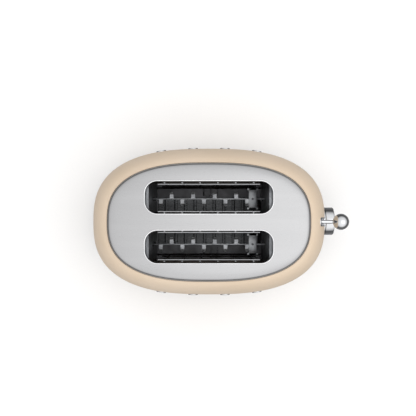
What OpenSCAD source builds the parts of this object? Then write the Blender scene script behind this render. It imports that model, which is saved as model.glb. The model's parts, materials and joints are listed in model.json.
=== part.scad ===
/* [Body] */
// Length of the painted shell where it is widest
shell_l = 312; // [260:1:375]
// Width of the painted shell where it is widest
shell_w = 198; // [165:1:238]
// Height of the crown of the top plate above the table
overall_h = 198; // [190:1:238]
// Height at which the shell is widest
waist_z = 62; // [56:1:75]
// Thickness of the shell and its turned-in top flange
shell_wall = 1.6; // [1:0.1:2]
// How far the shell tucks in from its waist to its lower edge
shell_tuck = 5; // [0:0.5:8]
// Width of the turned-in flange that carries the top plate
flange_w = 8; // [5:0.5:9]
// Squareness of the plan outline, where 2 is an ellipse
outline_power = 2.65; // [2.2:0.05:3.2]
// Squareness of the shoulder, where 2 is an ellipse
shoulder_power = 1.8; // [1.6:0.05:2.2]

/* [Top plate] */
// Length of the brushed top plate
plate_l = 247; // [240:1:256]
// Width of the brushed top plate
plate_w = 144; // [140:1:150]
// Thickness of the top plate
plate_t = 1.5; // [1:0.1:2]
// Height of the crown above the plate's rim
crown_h = 11.5; // [9:0.5:14]
// Squareness of the plate's rounded rim
crown_power = 5; // [3:0.5:7]

/* [Bread slots] */
// Length of each bread slot
slot_l = 154; // [140:1:160]
// Width of each bread slot
slot_w = 39; // [36:0.5:41]
// Corner radius of each bread slot
slot_r = 15; // [10:0.5:17]
// Distance between the middles of the two slots
slot_pitch = 59.4; // [58:0.2:61]
// Thickness of the turned-down lip round each slot
lip_t = 1.5; // [1:0.1:2]

/* [Base] */
// Height of the feet below the base pan
foot_h = 8; // [6:0.5:10]
// Diameter of a foot
foot_d = 20; // [16:1:26]
// Distance from the middle to a foot along the length
foot_x = 100; // [90:1:108]
// Distance from the middle to a foot across the width
foot_y = 50; // [40:1:54]
// Height of the chrome ring under the shell
ring_h = 14; // [13:0.5:18]
// Thickness of the chrome ring
ring_t = 4; // [3:0.5:5]
// Thickness of the base pan
pan_t = 2.5; // [2:0.1:3]
// Bore of the cord gland
gland_bore_d = 7.2; // [6:0.1:7.6]

/* [Chassis] */
// Thickness of the chassis sheets
sheet_t = 1.2; // [0.8:0.1:1.5]
// How far each chassis end sheet stands inside the end of the slot
end_inset = 3.5; // [2:0.5:5]
// Gap from a slot's edge to the heater card beside it
card_gap = 4; // [3:0.5:4.5]
// Thickness of a heater card
card_t = 1; // [0.8:0.1:1.2]
// Turns of heating ribbon on each card
ribbon_turns = 11; // [6:1:14]

/* [Carriage] */
// Depth of the bread rails below the crown when raised
rail_depth = 79; // [76:1:84]
// Downward travel of the carriage
carriage_travel = 62; // [50:1:64]
// Height of the lever above the bread rails
lever_rise = 29; // [20:1:32]
// Diameter of the lever rod
lever_rod_d = 5; // [4:0.1:5.4]
// Diameter of the ball knob
knob_d = 20.5; // [18:0.5:24]
// How far the ball's centre stands out beyond the shell's widest point
knob_out = 11.25; // [11.25:0.25:20]
// Room in the lever's slot above the raised rod
lever_slot_room = 17.5; // [1.5:0.5:20]
// Diameter of the guide rod
guide_rod_d = 6; // [5:0.5:8]
// Radial running clearance of shafts in their holes
running_gap = 0.05; // [0.02:0.01:0.09]

/* [Bread guides] */
// Distance between the two guides of a slot when open
guide_gap = 34; // [33:0.5:35]
// Diameter of the guide wire
wire_d = 1.8; // [1.4:0.1:2]
// Distance between the upright wires
wire_pitch = 22; // [18:0.5:24]
// Depth of the guides' top wires below the shell's rim
guide_depth = 14; // [8:1:20]
// Height of the guide hinge above the table
guide_hinge_z = 44; // [42:0.5:48]

/* [Controls] */
// Diameter of the browning dial
dial_d = 38.4; // [32:0.1:39]
// Thickness of the browning dial
dial_t = 11.8; // [7:0.1:14]
// Diameter of the chrome drum behind the dial
dial_bezel_d = 40; // [39:0.5:44]
// How far the drum stands out of the shell
dial_bezel_out = 5.4; // [5:0.1:9]
// Gap between the lowered ball and the dial
dial_gap = 5; // [4:0.5:7]
// Diameter of a button
button_d = 9; // [7:0.5:10]
// Distance of the buttons from the middle of the dial
button_y = 32; // [30:0.5:34]
// Height between the two buttons on one side of the dial
button_pitch = 20; // [17:0.5:24]
// Travel of a button
button_travel = 1.5; // [1:0.1:2]

/* [Crumb tray] */
// Width of the crumb tray
tray_w = 98; // [80:1:100]
// Depth of the crumb tray
tray_h = 8; // [6:0.5:9]

/* [Trim] */
// Diameter of each round stud on the long sides
stud_d = 12.8; // [10:0.1:15]
// How far a stud stands out of the shell
stud_out = 1.2; // [1:0.1:2.5]
// Distance between neighbouring studs
stud_pitch = 42.5; // [36:0.5:46]
// Height of the studs above the table
stud_z = 100; // [90:1:110]

/* [Hidden] */

// The whole object is centred on the table with its lever along +X
shift_x = -(knob_out + knob_d / 2) / 2;
// Height of the rim where the top plate sits on the shell
rim_z = overall_h - crown_h;
// Height of the shell's lower edge, on top of the chrome ring
shell_z = foot_h + ring_h;
// Corners of each plan outline, a multiple of four
outline_steps = 72;
// Steps of the shoulder, of the tucked lower part and of the crown
shoulder_steps = 10;
tuck_steps = 3;
crown_steps = 8;
crown_sweep = 86;
plate_edge = 1.2;
slab_steps = 24;
sweep_side = [0.31, 0.87, 0.38];
// Clearance between pieces of one body that lie side by side
side_gap = 0.3;
// Clearance between pieces that move past each other
moving_gap = 0.5;
// Room for a sheet to drop into another
seat_gap = 0.1;
slot_y = slot_pitch / 2;
// Inner faces of the two chassis end sheets
end_x = slot_l / 2 - end_inset;
outer_card_y = slot_y + slot_w / 2 + card_gap;
inner_card_y = slot_y - slot_w / 2 - card_gap;
reflector_y = outer_card_y + card_t + 3;
chassis_half_w = reflector_y + sheet_t + 1.5;
chassis_top_z = rim_z - shell_wall - side_gap;
pan_z = foot_h;
floor_z = pan_z + pan_t;
leg_w = 8;
leg_flange = 12;
leg_y = chassis_half_w - leg_w / 2;
screw_x = end_x + sheet_t + leg_flange / 2;
peg_d = 6;
screw_d = 4;
screw_head_d = 7;
screw_head_h = 2.2;
screw_hole_d = 4.4;
tongue_w = 24;
shelf_w = 72;
nut_d = 8;
nut_h = 3;
tray_z = floor_z + 14.5;
tray_sheet = 0.8;
tray_front_x = end_x - 3;
// Lower edges of the end sheets, clear above the tray
apron_z = tray_z + tray_h + 3;
card_z = apron_z + 3;
card_top_z = chassis_top_z - 7;
rail_z = overall_h - rail_depth;
rail_h = 8;
rail_t = 1.6;
rail_slot_w = 4;
rail_over = 6;
tab_count = 9;
tab_pitch = 14.1;
tab_first_x = -63;
tab_w = 5;
tab_t = 1.2;
tab_reach = 9.6;
tab_drop = 3.4;
strap_x = 57;
strap_w = 10;
strap_t = 1.2;
strap_half = 14.3;
strap_foot_w = 14;
carriage_x = end_x + sheet_t + 4;
carriage_h = 22;
guide_rod_x = carriage_x + 9;
bush_d = guide_rod_d + 8;
bush_h = 30;
lever_z = rail_z + lever_rise;
knob_x = shell_l / 2 + knob_out;
riser_x = guide_rod_x + bush_d / 2 + 2;
riser_w = 9;
riser_t = 3;
keeper_x = riser_x + 8;
keeper_y = 22;
keeper_t = 2;
keeper_z = rail_z - 11;
arm_w = 10;
coil_d = 13;
core_post_d = 6;
core_base_h = 2.5;
shelf_x = keeper_x + 10;
spring_d = 8;
spring_wire = 1.1;
spring_turns = 14;
spring_sides = 6;
spring_ring_steps = 12;
spring_top_z = chassis_top_z - 9;
spring_low_z = keeper_z + keeper_t + sheet_t + side_gap;
guide_top_z = rim_z - guide_depth;
guide_pin_x = end_x + sheet_t + 1;
guide_wires = 6;
guide_half_l = wire_pitch * (guide_wires - 1) / 2 + 8;
knob_bore_depth = 8;
dial_z = lever_z - carriage_travel - knob_d / 2 - dial_gap - dial_d / 2;
dial_back_x = half_l(dial_z) + dial_bezel_out + moving_gap;
dial_hub_d = 10;
shaft_d = 6;
board_x = half_l(dial_z) - 22;
board_t = 1.6;
board_half_w = button_y + 6;
pot_w = 16;
pot_t = 7;
button_face = 1;
button_rim = 1.7;
button_rise = 0.4;
button_gap = 0.35;
button_cap = 5;
stem_d = 4;
switch_w = 6;
switch_t = 4;
stud_count = 4;
lever_slot_w = lever_rod_d + 1.4;
escutcheon_neck_w = lever_slot_w + 2;
slot_cut_w = escutcheon_neck_w + 2 * side_gap;
escutcheon_w = slot_cut_w + 2.4;
escutcheon_t = 1.1;
escutcheon_neck = 6;
lever_slot_low_z = lever_z - carriage_travel - lever_rod_d / 2 - 1.5;
lever_slot_top_z = lever_z + lever_rod_d / 2 + lever_slot_room;
button_bezel_d = button_d + 2 * (button_gap + button_rim);
board_low_z = dial_z - button_pitch / 2 - 12;
board_top_z = dial_z + button_pitch / 2 + 10;
ring_a = half_l(shell_z);
ring_b = half_w(shell_z);
pan_a = ring_a - ring_t - side_gap;
pan_b = ring_b - ring_t - side_gap;
pan_wall = 2;
lip_h = 1.5;
gland_d = gland_bore_d + 2.4;
gland_flange_d = gland_bore_d + 4.6;
gland_nut_d = gland_bore_d + 3.4;
gland_z = floor_z + gland_nut_d / 2 + 0.2;
mouth_low_z = tray_z - 0.8;
mouth_top_z = tray_z + tray_h + 4;
mouth_half_w = tray_w / 2 + 4;
tray_back_x = 1 - outline_x(tray_w / 2, ring_a - shell_wall, ring_b - shell_wall);
runner_y = tray_w / 2 + moving_gap;
runner_t = 1.5;
runner_back_x = 1 - outline_x(runner_y + runner_t, pan_a - pan_wall, pan_b - pan_wall);

// Share of the way from the shell's waist to the plate's edge at height z
function shoulder(z) =
    let(t = min(1, max(0, (z - waist_z) / (rim_z - waist_z))))
    1 - pow(1 - pow(t, shoulder_power), 1 / shoulder_power);
// Inward tuck of the lower shell at height z
function tuck(z) = shell_tuck * pow(max(0, (waist_z - z) / (waist_z - shell_z)), 2);
// Half length and half width of the shell's outside at height z
function half_l(z) = shell_l / 2 - (shell_l - plate_l) / 2 * shoulder(z) - tuck(z);
function half_w(z) = shell_w / 2 - (shell_w - plate_w) / 2 * shoulder(z) - tuck(z);
// One plan outline: a superellipse with the given half length and half width
function bend(v) = sign(v) * pow(abs(v), 2 / outline_power);
function outline(a, b) = [
    for (i = [0 : outline_steps - 1])
        let(turn = 360 * i / outline_steps)
        [a * bend(cos(turn)), b * bend(sin(turn))]
];
function ring(a, b, z) = [for (p = outline(a, b)) [p.x, p.y, z]];
// Where the outline lies across the width for a given place along it, and how it turns there
function outline_y(x, a, b) = b * pow(1 - pow(abs(x) / a, outline_power), 1 / outline_power);
function outline_turn(x, a, b) =
    atan(sign(x) * b / a * pow(abs(x) / a, outline_power - 1)
        / pow(outline_y(x, a, b) / b, outline_power - 1));
function outline_x(y, a, b) = a * pow(1 - pow(abs(y) / b, outline_power), 1 / outline_power);
function unit(v) = v / norm(v);
// Rise and share of the crown's rings from the plate's edge inwards
function crown_rise(s) = pow(sin(crown_sweep * s) / sin(crown_sweep), 2 / crown_power);
function crown_share(s) = pow(cos(crown_sweep * s), 2 / crown_power);
// Heights and front planes of the buttons
function button_z(up) = dial_z + up * button_pitch / 2;
function bezel_face_x(up) =
    outline_x(button_y - button_bezel_d / 2, half_l(button_z(up)), half_w(button_z(up))) + button_rise;
// Heights of the rings up the shell's outside
function shell_heights() = concat(
    [for (i = [0 : tuck_steps - 1]) shell_z + (waist_z - shell_z) * i / tuck_steps],
    [for (i = [0 : shoulder_steps]) waist_z + (rim_z - waist_z) * rise(i / shoulder_steps)]
);
function rise(s) = pow(sin(90 * s), 2 / shoulder_power);

// Skins closed rings of equal length, from first to last; wrapped joins the last to the first
module skin(rings, wrapped = false) {
    n = len(rings[0]);
    count = len(rings);
    bands = wrapped ? count - 1 : count - 2;
    sides = [
        for (r = [0 : bands], i = [0 : n - 1])
            let(a = r * n + i, b = r * n + (i + 1) % n)
            let(c = ((r + 1) % count) * n + (i + 1) % n, d = ((r + 1) % count) * n + i)
            each [[a, c, b], [a, d, c]]
    ];
    caps = wrapped ? [] : [
        [for (i = [0 : n - 1]) i],
        [for (i = [n - 1 : -1 : 0]) (count - 1) * n + i]
    ];
    polyhedron(points = [for (r = rings) each r], faces = concat(sides, caps), convexity = 10);
}

module rounded_rect(l, w, r) {
    square([l - 2 * r, w], center = true);
    square([l, w - 2 * r], center = true);
    for (sx = [-1, 1], sy = [-1, 1])
        translate([sx * (l / 2 - r), sy * (w / 2 - r)]) circle(r = r, $fn = 48);
}

// A box given by its low and high corners
module block(low, high) {
    translate(low) cube(high - low);
}

module rod_x(d, x0, x1) {
    translate([x0, 0, 0]) rotate([0, 90, 0]) cylinder(d = d, h = x1 - x0, $fn = 32);
}

module upright(d, h) {
    cylinder(d = d, h = h, $fn = 32);
}

module placed() {
    translate([shift_x, 0, 0]) children();
}

module both_slots() {
    for (side = [-1, 1]) translate([0, side * slot_y, 0]) children();
}

// An upright slot with round ends, cut along X, sharing the lever slot's end centres
module lever_slot_prism(w, x0, x1) {
    low_z = lever_slot_low_z + lever_slot_w / 2;
    top_z = lever_slot_top_z - lever_slot_w / 2;
    block([x0, -w / 2, low_z], [x1, w / 2, top_z]);
    for (z = [low_z, top_z]) translate([0, 0, z]) rod_x(w, x0, x1);
}

// A slab that follows the shell's end from the lever slot's foot to its head
module end_slab(w, inset, out) {
    low_z = lever_slot_low_z - w;
    top_z = lever_slot_top_z + w;
    heights = [for (i = [0 : slab_steps]) low_z + (top_z - low_z) * i / slab_steps];
    front = [for (z = heights) [half_l(z) + out, z]];
    back = [for (i = [slab_steps : -1 : 0]) [half_l(heights[i]) - inset, heights[i]]];
    rotate([90, 0, 0]) linear_extrude(height = w, center = true) polygon(concat(front, back));
}

// A solid along a path, closed at both ends
module sweep(path, d, sides) {
    last = len(path) - 1;
    skin([
        for (i = [0 : last])
            let(along = unit(path[min(last, i + 1)] - path[max(0, i - 1)]))
            let(across = unit(cross(along, sweep_side)), over = cross(along, across))
            [for (k = [0 : sides - 1])
                let(turn = 360 * k / sides)
                path[i] + d / 2 * (cos(turn) * across + sin(turn) * over)]
    ]);
}

module body_shell() {
    heights = shell_heights();
    outer = [for (z = heights) ring(half_l(z), half_w(z), z)];
    flange = [for (z = [rim_z, rim_z - shell_wall])
        ring(plate_l / 2 - flange_w, plate_w / 2 - flange_w, z)];
    inner = [
        for (i = [len(heights) - 1 : -1 : 0])
            let(z = heights[i], lean = 90 * max(0, (i - tuck_steps) / shoulder_steps))
            ring(half_l(z) - shell_wall * cos(lean), half_w(z) - shell_wall * cos(lean),
                z - shell_wall * sin(lean))
    ];
    color("#d8c4a8") placed() difference() {
        skin(concat(outer, flange, inner), wrapped = true);
        lever_slot_prism(slot_cut_w, shell_l / 2 - 40, shell_l / 2 + 5);
        translate([0, 0, dial_z]) rod_x(dial_bezel_d + 2 * side_gap, shell_l / 2 - 30, shell_l / 2 + 5);
        for (side = [-1, 1], up = [-1, 1])
            translate([0, side * button_y, button_z(up)])
                rod_x(button_bezel_d + 2 * side_gap, shell_l / 2 - 40, shell_l / 2 + 5);
        block([-shell_l / 2 - 5, -mouth_half_w, mouth_low_z], [-shell_l / 2 + 40, mouth_half_w, mouth_top_z]);
    }
}

// A solid with the top plate's crown over the plate's outline
module crowned(inset, low_z, edge_z, top_z) {
    a = plate_l / 2 - inset;
    b = plate_w / 2 - inset;
    skin(concat(
        [ring(a, b, low_z)],
        [for (i = [0 : crown_steps])
            let(share = crown_share(i / crown_steps), rise = crown_rise(i / crown_steps))
            ring(a * share, b * share, edge_z + (top_z - edge_z) * rise)]
    ));
}

module top_plate() {
    color("#d4d4d4") placed() difference() {
        crowned(0, rim_z, rim_z + plate_edge, overall_h);
        difference() {
            crowned(plate_t, rim_z - 1, rim_z + plate_edge / 2, overall_h - plate_t);
            both_slots() translate([0, 0, rim_z - 2]) linear_extrude(height = crown_h + 4)
                rounded_rect(slot_l + 2 * lip_t, slot_w + 2 * lip_t, slot_r + lip_t);
        }
        both_slots() translate([0, 0, rim_z - 5]) linear_extrude(height = crown_h + 10)
            rounded_rect(slot_l, slot_w, slot_r);
    }
}

// A wall that follows the plan outline between two insets
module outline_wall(a, b, t, low_z, top_z) {
    translate([0, 0, low_z]) linear_extrude(height = top_z - low_z) difference() {
        polygon(outline(a, b));
        polygon(outline(a - t, b - t));
    }
}

module gland_hole(d) {
    translate([0, 0, gland_z]) rod_x(d, -shell_l / 2 - 5, -pan_a + 20);
}

module base_ring() {
    lip_inset = shell_wall + side_gap;
    color("#e4e4e6") placed() difference() {
        union() {
            outline_wall(ring_a, ring_b, ring_t, pan_z, shell_z);
            outline_wall(ring_a - lip_inset, ring_b - lip_inset, ring_t - lip_inset,
                shell_z - 1, shell_z + lip_h);
        }
        gland_hole(gland_d + 2 * seat_gap);
    }
}

module at_screws() {
    for (sx = [-1, 1], sy = [-1, 1]) translate([sx * screw_x, sy * leg_y, 0]) children();
}

module at_feet() {
    for (sx = [-1, 1], sy = [-1, 1]) translate([sx * foot_x, sy * foot_y, 0]) children();
}

module base_pan() {
    vent_w = 3;
    vent_l = 26;
    vent_pitch = 16;
    color("#1c1c1e") placed() difference() {
        union() {
            translate([0, 0, pan_z]) linear_extrude(height = pan_t) polygon(outline(pan_a, pan_b));
            outline_wall(pan_a, pan_b, pan_wall, pan_z, shell_z - 0.5);
        }
        at_screws() upright(screw_hole_d, floor_z + 1);
        at_feet() upright(peg_d + 2 * seat_gap, floor_z + 1);
        gland_hole(gland_d + 2 * seat_gap);
        for (i = [-3 : 3], side = [-1, 1])
            translate([i * vent_pitch - vent_w / 2, side * 24 - vent_l / 2, pan_z - 1])
                cube([vent_w, vent_l, pan_t + 2]);
    }
}

module feet() {
    color("#242424") placed() at_feet() {
        cylinder(d1 = foot_d - 2, d2 = foot_d, h = 1, $fn = 48);
        translate([0, 0, 1]) cylinder(d = foot_d, h = foot_h - 1, $fn = 48);
        upright(peg_d, floor_z);
    }
}

module trim_studs() {
    a = half_l(stud_z);
    b = half_w(stud_z);
    lean = atan((half_w(stud_z - 1) - half_w(stud_z + 1)) / 2);
    pin_d = 5;
    color("#ececee") placed()
        for (side = [0, 1], i = [0 : stud_count - 1])
            let(x = (i - (stud_count - 1) / 2) * stud_pitch)
            mirror([0, side, 0]) translate([x, outline_y(x, a, b), stud_z])
                rotate([0, 0, -outline_turn(x, a, b)]) rotate([lean - 90, 0, 0]) {
                    translate([0, 0, seat_gap]) cylinder(d = stud_d, h = stud_out - 0.9, $fn = 48);
                    translate([0, 0, stud_out - 0.8])
                        cylinder(d1 = stud_d, d2 = stud_d - 2, h = 0.8, $fn = 48);
                    translate([0, 0, -shell_wall - 1]) upright(pin_d, shell_wall + 2);
                }
}

module lever_escutcheon() {
    color("#e4e4e6") placed() difference() {
        union() {
            intersection() {
                end_slab(escutcheon_w + 2, -seat_gap, seat_gap + escutcheon_t);
                lever_slot_prism(escutcheon_w, shell_l / 2 - 60, shell_l / 2 + 5);
            }
            intersection() {
                end_slab(escutcheon_neck_w + 2, escutcheon_neck, seat_gap + escutcheon_t / 2);
                lever_slot_prism(escutcheon_neck_w, shell_l / 2 - 60, shell_l / 2 + 5);
            }
        }
        lever_slot_prism(lever_slot_w, shell_l / 2 - 70, shell_l / 2 + 10);
    }
}

module dial_bezel() {
    face_x = half_l(dial_z) + dial_bezel_out;
    color("#e4e4e6") placed() translate([0, 0, dial_z]) difference() {
        rod_x(dial_bezel_d, half_l(dial_z) - 7, face_x);
        rod_x(dial_hub_d + 2 * moving_gap, half_l(dial_z) - 8, face_x + 1);
    }
}

module at_buttons() {
    for (side = [-1, 1], up = [-1, 1]) translate([bezel_face_x(up), side * button_y, button_z(up)]) children();
}

module button_bezels() {
    color("#e4e4e6") placed() at_buttons() difference() {
        rod_x(button_bezel_d, -8, 0);
        rod_x(button_d + 2 * button_gap, -9, 1);
    }
}

// One end sheet with its legs and flanges, at the +X end
module chassis_end() {
    difference() {
        union() {
            block([end_x, -chassis_half_w, apron_z], [end_x + sheet_t, chassis_half_w, chassis_top_z]);
            block([end_x, -chassis_half_w, chassis_top_z - sheet_t],
                [end_x + leg_flange, chassis_half_w, chassis_top_z]);
            for (side = [-1, 1]) translate([0, side * leg_y, 0]) {
                block([end_x, -leg_w / 2, floor_z], [end_x + sheet_t, leg_w / 2, apron_z + 1]);
                block([end_x, -leg_w / 2, floor_z], [end_x + leg_flange, leg_w / 2, floor_z + sheet_t]);
            }
            children();
        }
        for (side = [-1, 1])
            translate([0, side * slot_y, 0])
                block([end_x - 1, -rail_slot_w / 2, rail_z - rail_h - carriage_travel - 2],
                    [end_x + sheet_t + 1, rail_slot_w / 2, rail_z + 2]);
        at_guides() translate([0, 0, guide_hinge_z])
            rod_x(wire_d + 2 * running_gap, end_x - 1, end_x + sheet_t + 1);
        at_screws() upright(screw_hole_d, floor_z + sheet_t + 1);
    }
}

module at_guides() {
    for (side = [-1, 1], edge = [-1, 1])
        translate([0, side * slot_y + edge * guide_gap / 2, 0]) children();
}

module chassis_front() {
    rod_hole_d = guide_rod_d + 2 * seat_gap;
    color("#b9bcc0") placed() difference() {
        chassis_end() {
            block([end_x, -tongue_w / 2, chassis_top_z - sheet_t],
                [guide_rod_x + 8, tongue_w / 2, chassis_top_z]);
            block([end_x, -shelf_w / 2, apron_z], [shelf_x, shelf_w / 2, apron_z + sheet_t]);
        }
        translate([guide_rod_x, 0, 0]) upright(rod_hole_d, overall_h);
    }
}

module chassis_rear() {
    color("#b9bcc0") placed() mirror([1, 0, 0]) chassis_end();
}

module chassis_rails() {
    color("#b9bcc0") placed() for (side = [0, 1]) mirror([0, side, 0]) {
        block([-end_x, chassis_half_w - 6, chassis_top_z - sheet_t], [end_x, chassis_half_w, chassis_top_z]);
        block([-end_x, chassis_half_w - sheet_t, chassis_top_z - leg_w], [end_x, chassis_half_w, chassis_top_z]);
    }
}

// Screws up through the pan and the legs, each with its own nut
module chassis_fasteners() {
    color("#8c8e92") placed() at_screws() {
        translate([0, 0, pan_z - screw_head_h]) upright(screw_head_d, screw_head_h);
        translate([0, 0, pan_z - 1]) upright(screw_d, pan_t + sheet_t + nut_h + 2);
        translate([0, 0, floor_z + sheet_t]) difference() {
            cylinder(d = nut_d, h = nut_h, $fn = 6);
            translate([0, 0, -1]) upright(screw_d + 2 * running_gap, nut_h + 2);
        }
    }
}

module board_brackets() {
    bracket_w = 8;
    bracket_t = 4;
    color("#1c1c1e") placed() for (side = [-1, 1])
        translate([board_x - bracket_t, side * (board_half_w - bracket_w) - bracket_w / 2, floor_z])
            cube([bracket_t, bracket_w, board_low_z + bracket_w - floor_z]);
}

// An upright sheet that spans between the two end sheets
module long_sheet(y, t, low_z, top_z) {
    block([seat_gap - end_x, y, low_z], [end_x - seat_gap, y + t, top_z]);
}

module reflector() {
    long_sheet(reflector_y, sheet_t, card_z, card_top_z);
}

module reflector_left() {
    color("#c8c8ca") placed() reflector();
}

module reflector_right() {
    color("#c8c8ca") placed() mirror([0, 1, 0]) reflector();
}

module centre_divider() {
    color("#c8c8ca") placed() long_sheet(-sheet_t / 2, sheet_t, card_z, card_top_z);
}

module heater_card(y) {
    color("#9a8f80") placed() long_sheet(y, card_t, card_z, card_top_z);
}

module heater_card_outer_left() {
    heater_card(outer_card_y);
}

module heater_card_inner_left() {
    heater_card(inner_card_y - card_t);
}

module heater_card_inner_right() {
    heater_card(-inner_card_y);
}

module heater_card_outer_right() {
    heater_card(-outer_card_y - card_t);
}

// Flat ribbon strips over the face of a card that looks at the bread
module heating_ribbon(y) {
    ribbon_w = 1.8;
    ribbon_t = 0.4;
    ribbon_half_l = end_x - 9;
    pitch = (card_top_z - card_z - 12) / (ribbon_turns - 1);
    color("#6f6a66") placed() for (i = [0 : ribbon_turns - 1])
        translate([-ribbon_half_l, y - ribbon_t / 2, card_z + 6 + i * pitch - ribbon_w / 2])
            cube([2 * ribbon_half_l, ribbon_t, ribbon_w]);
}

module heating_ribbon_outer_left() {
    heating_ribbon(outer_card_y - 0.2);
}

module heating_ribbon_inner_left() {
    heating_ribbon(inner_card_y + 0.2);
}

module heating_ribbon_inner_right() {
    heating_ribbon(-inner_card_y - 0.2);
}

module heating_ribbon_outer_right() {
    heating_ribbon(-outer_card_y + 0.2);
}

module guide_rod() {
    color("#d0d2d6") placed() translate([guide_rod_x, 0, apron_z - 1])
        upright(guide_rod_d, chassis_top_z - apron_z + 2);
}

module magnet_core() {
    base_z = apron_z + sheet_t;
    top_z = keeper_z - carriage_travel - side_gap;
    color("#5a5c60") placed() {
        block([keeper_x - 8, keeper_y - 7, base_z], [keeper_x + 8, keeper_y + 7, base_z + core_base_h]);
        translate([keeper_x, keeper_y, base_z]) upright(core_post_d, top_z - base_z);
    }
}

module magnet_coil() {
    low_z = apron_z + sheet_t + core_base_h + seat_gap;
    top_z = keeper_z - carriage_travel - 1;
    color("#a8662c") placed() translate([keeper_x, keeper_y, low_z]) difference() {
        upright(coil_d, top_z - low_z);
        translate([0, 0, -1]) upright(core_post_d + 2 * seat_gap, top_z - low_z + 2);
    }
}

module mains_switch() {
    base_z = apron_z + sheet_t;
    top_z = keeper_z + keeper_t - carriage_travel - moving_gap;
    color("#2c2c30") placed() {
        block([keeper_x - 6, -keeper_y - 5, base_z], [keeper_x + 6, 5 - keeper_y, top_z - 2]);
        translate([keeper_x, -keeper_y, base_z]) upright(4, top_z - base_z);
    }
}

module control_board() {
    relay_x = board_x - 14;
    color("#2f6b3a") placed() {
        block([board_x, -board_half_w, board_low_z], [board_x + board_t, board_half_w, board_top_z]);
        block([relay_x, 8, board_low_z + 12], [board_x + 0.1, 24, board_low_z + 24]);
        translate([0, -14, board_low_z + 18]) rod_x(10, relay_x, board_x + 0.1);
    }
}

module dial_potentiometer() {
    front_x = board_x + board_t + pot_t;
    color("#3a3a3e") placed() translate([0, 0, dial_z]) difference() {
        union() {
            block([board_x + board_t, -pot_w / 2, -pot_w / 2], [front_x, pot_w / 2, pot_w / 2]);
            rod_x(shaft_d + 3, front_x - 1, front_x + 4);
        }
        rod_x(shaft_d + 2 * running_gap, board_x + board_t + 1, front_x + 5);
    }
}

module button_switches() {
    half = switch_w / 2;
    color("#2c2c30") placed()
        for (side = [-1, 1], up = [-1, 1]) translate([board_x + board_t, side * button_y, button_z(up)])
            block([0, -half, -half], [switch_t, half, half]);
}

module terminal_block() {
    color("#e6e2d6") placed() block([-112, 14, floor_z], [-92, 34, floor_z + 11]);
}

module wiring_loom() {
    z = floor_z + 3;
    rise_x = board_x - 8;
    color("#8a2f2a") placed() {
        sweep([[-90, 24, z], [-60, 24, z], [0, 22, z], [60, 22, z], [rise_x - 6, 22, z],
            [rise_x - 2, 22, z + 2], [rise_x, 22, z + 6], [rise_x, 22, board_low_z - 6],
            [rise_x + 2, 22, board_low_z - 2 ], [rise_x + 3, 22, board_low_z + 6]], 4.4, 8);
    }
}

module cord_gland() {
    color("#232325") placed() translate([0, 0, gland_z]) difference() {
        union() {
            rod_x(gland_d, -ring_a - seat_gap - 0.5, -pan_a + pan_wall + 5);
            rod_x(gland_flange_d, -ring_a - seat_gap - 2.5, -ring_a - seat_gap);
            rod_x(gland_nut_d, -pan_a + pan_wall + seat_gap + 0.5, -pan_a + pan_wall + 4);
        }
        rod_x(gland_bore_d, -ring_a - 10, -pan_a + 20);
    }
}

module cord_cleats() {
    color("#1c1c1e") placed() for (side = [-1, 1]) translate([side * 35, 0, 0]) {
        block([-11, -4, pan_z - 5.5], [11, 4, pan_z - 3.5]);
        translate([0, 0, pan_z - 4]) upright(8, 4);
    }
}

module tray_runners() {
    color("#b9bcc0") placed() for (side = [0, 1]) mirror([0, side, 0]) {
        block([runner_back_x, runner_y, floor_z], [tray_front_x, runner_y + runner_t, tray_z + tray_h - 1]);
        block([runner_back_x, runner_y - 5, tray_z - side_gap - 1.2],
            [tray_front_x, runner_y + 1, tray_z - side_gap]);
    }
}

module floor_baffles() {
    low_z = apron_z + 0.5;
    inner_y = slot_y + 3.5;
    vents = [[-7.5, 10], [2.5, 16], [12, 10]];
    color("#3c3c40") placed() for (side = [0, 1]) mirror([0, side, 0]) difference() {
        union() {
            block([seat_gap - end_x, inner_y, low_z], [end_x - seat_gap, reflector_y - side_gap, low_z + 1]);
            block([seat_gap - end_x, inner_y, low_z], [end_x - seat_gap, inner_y + 1, low_z + 3]);
        }
        for (v = vents)
            block([v[0] - 1.2, inner_y + 3, low_z - 1], [v[0] + 1.2, inner_y + 3 + v[1], low_z + 2]);
    }
}

module carriage_frame() {
    low_z = rail_z - 13;
    front_x = carriage_x + rail_t;
    collar_w = bush_d + 4;
    arm_z = keeper_z + keeper_t;
    color("#b9bcc0") placed() difference() {
        union() {
            block([carriage_x, -slot_y - 6, low_z], [front_x, slot_y + 6, low_z + carriage_h]);
            block([front_x - 0.5, -collar_w / 2, rail_z - 8], [riser_x, collar_w / 2, rail_z + 8]);
            for (side = [-1, 1]) translate([0, side * keeper_y, arm_z])
                block([front_x - 0.5, -arm_w / 2, 0], [keeper_x + 6, arm_w / 2, sheet_t]);
        }
        translate([guide_rod_x, 0, 0]) upright(bush_d + 2 * running_gap, overall_h);
    }
}

module guide_bush() {
    color("#e8e2cc") placed() translate([guide_rod_x, 0, rail_z - bush_h / 2]) difference() {
        cylinder(d = bush_d, h = bush_h, $fn = 48);
        translate([0, 0, -1]) upright(guide_rod_d + 2 * running_gap, bush_h + 2);
    }
}

module bread_carrier() {
    block([-end_x - rail_over, -rail_t / 2, rail_z - rail_h], [carriage_x, rail_t / 2, rail_z]);
    for (k = [0 : tab_count - 1])
        translate([tab_first_x + tab_pitch * k, 0, 0]) mirror([0, (k + 1) % 2, 0]) {
            block([-tab_w / 2, 0, rail_z - tab_t], [tab_w / 2, tab_reach, rail_z]);
            block([-tab_w / 2, tab_reach - tab_t, rail_z - tab_drop], [tab_w / 2, tab_reach, rail_z]);
        }
}

module bread_carrier_left() {
    color("#8e9094") placed() translate([0, slot_y, 0]) bread_carrier();
}

module bread_carrier_right() {
    color("#8e9094") placed() translate([0, -slot_y, 0]) bread_carrier();
}

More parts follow.
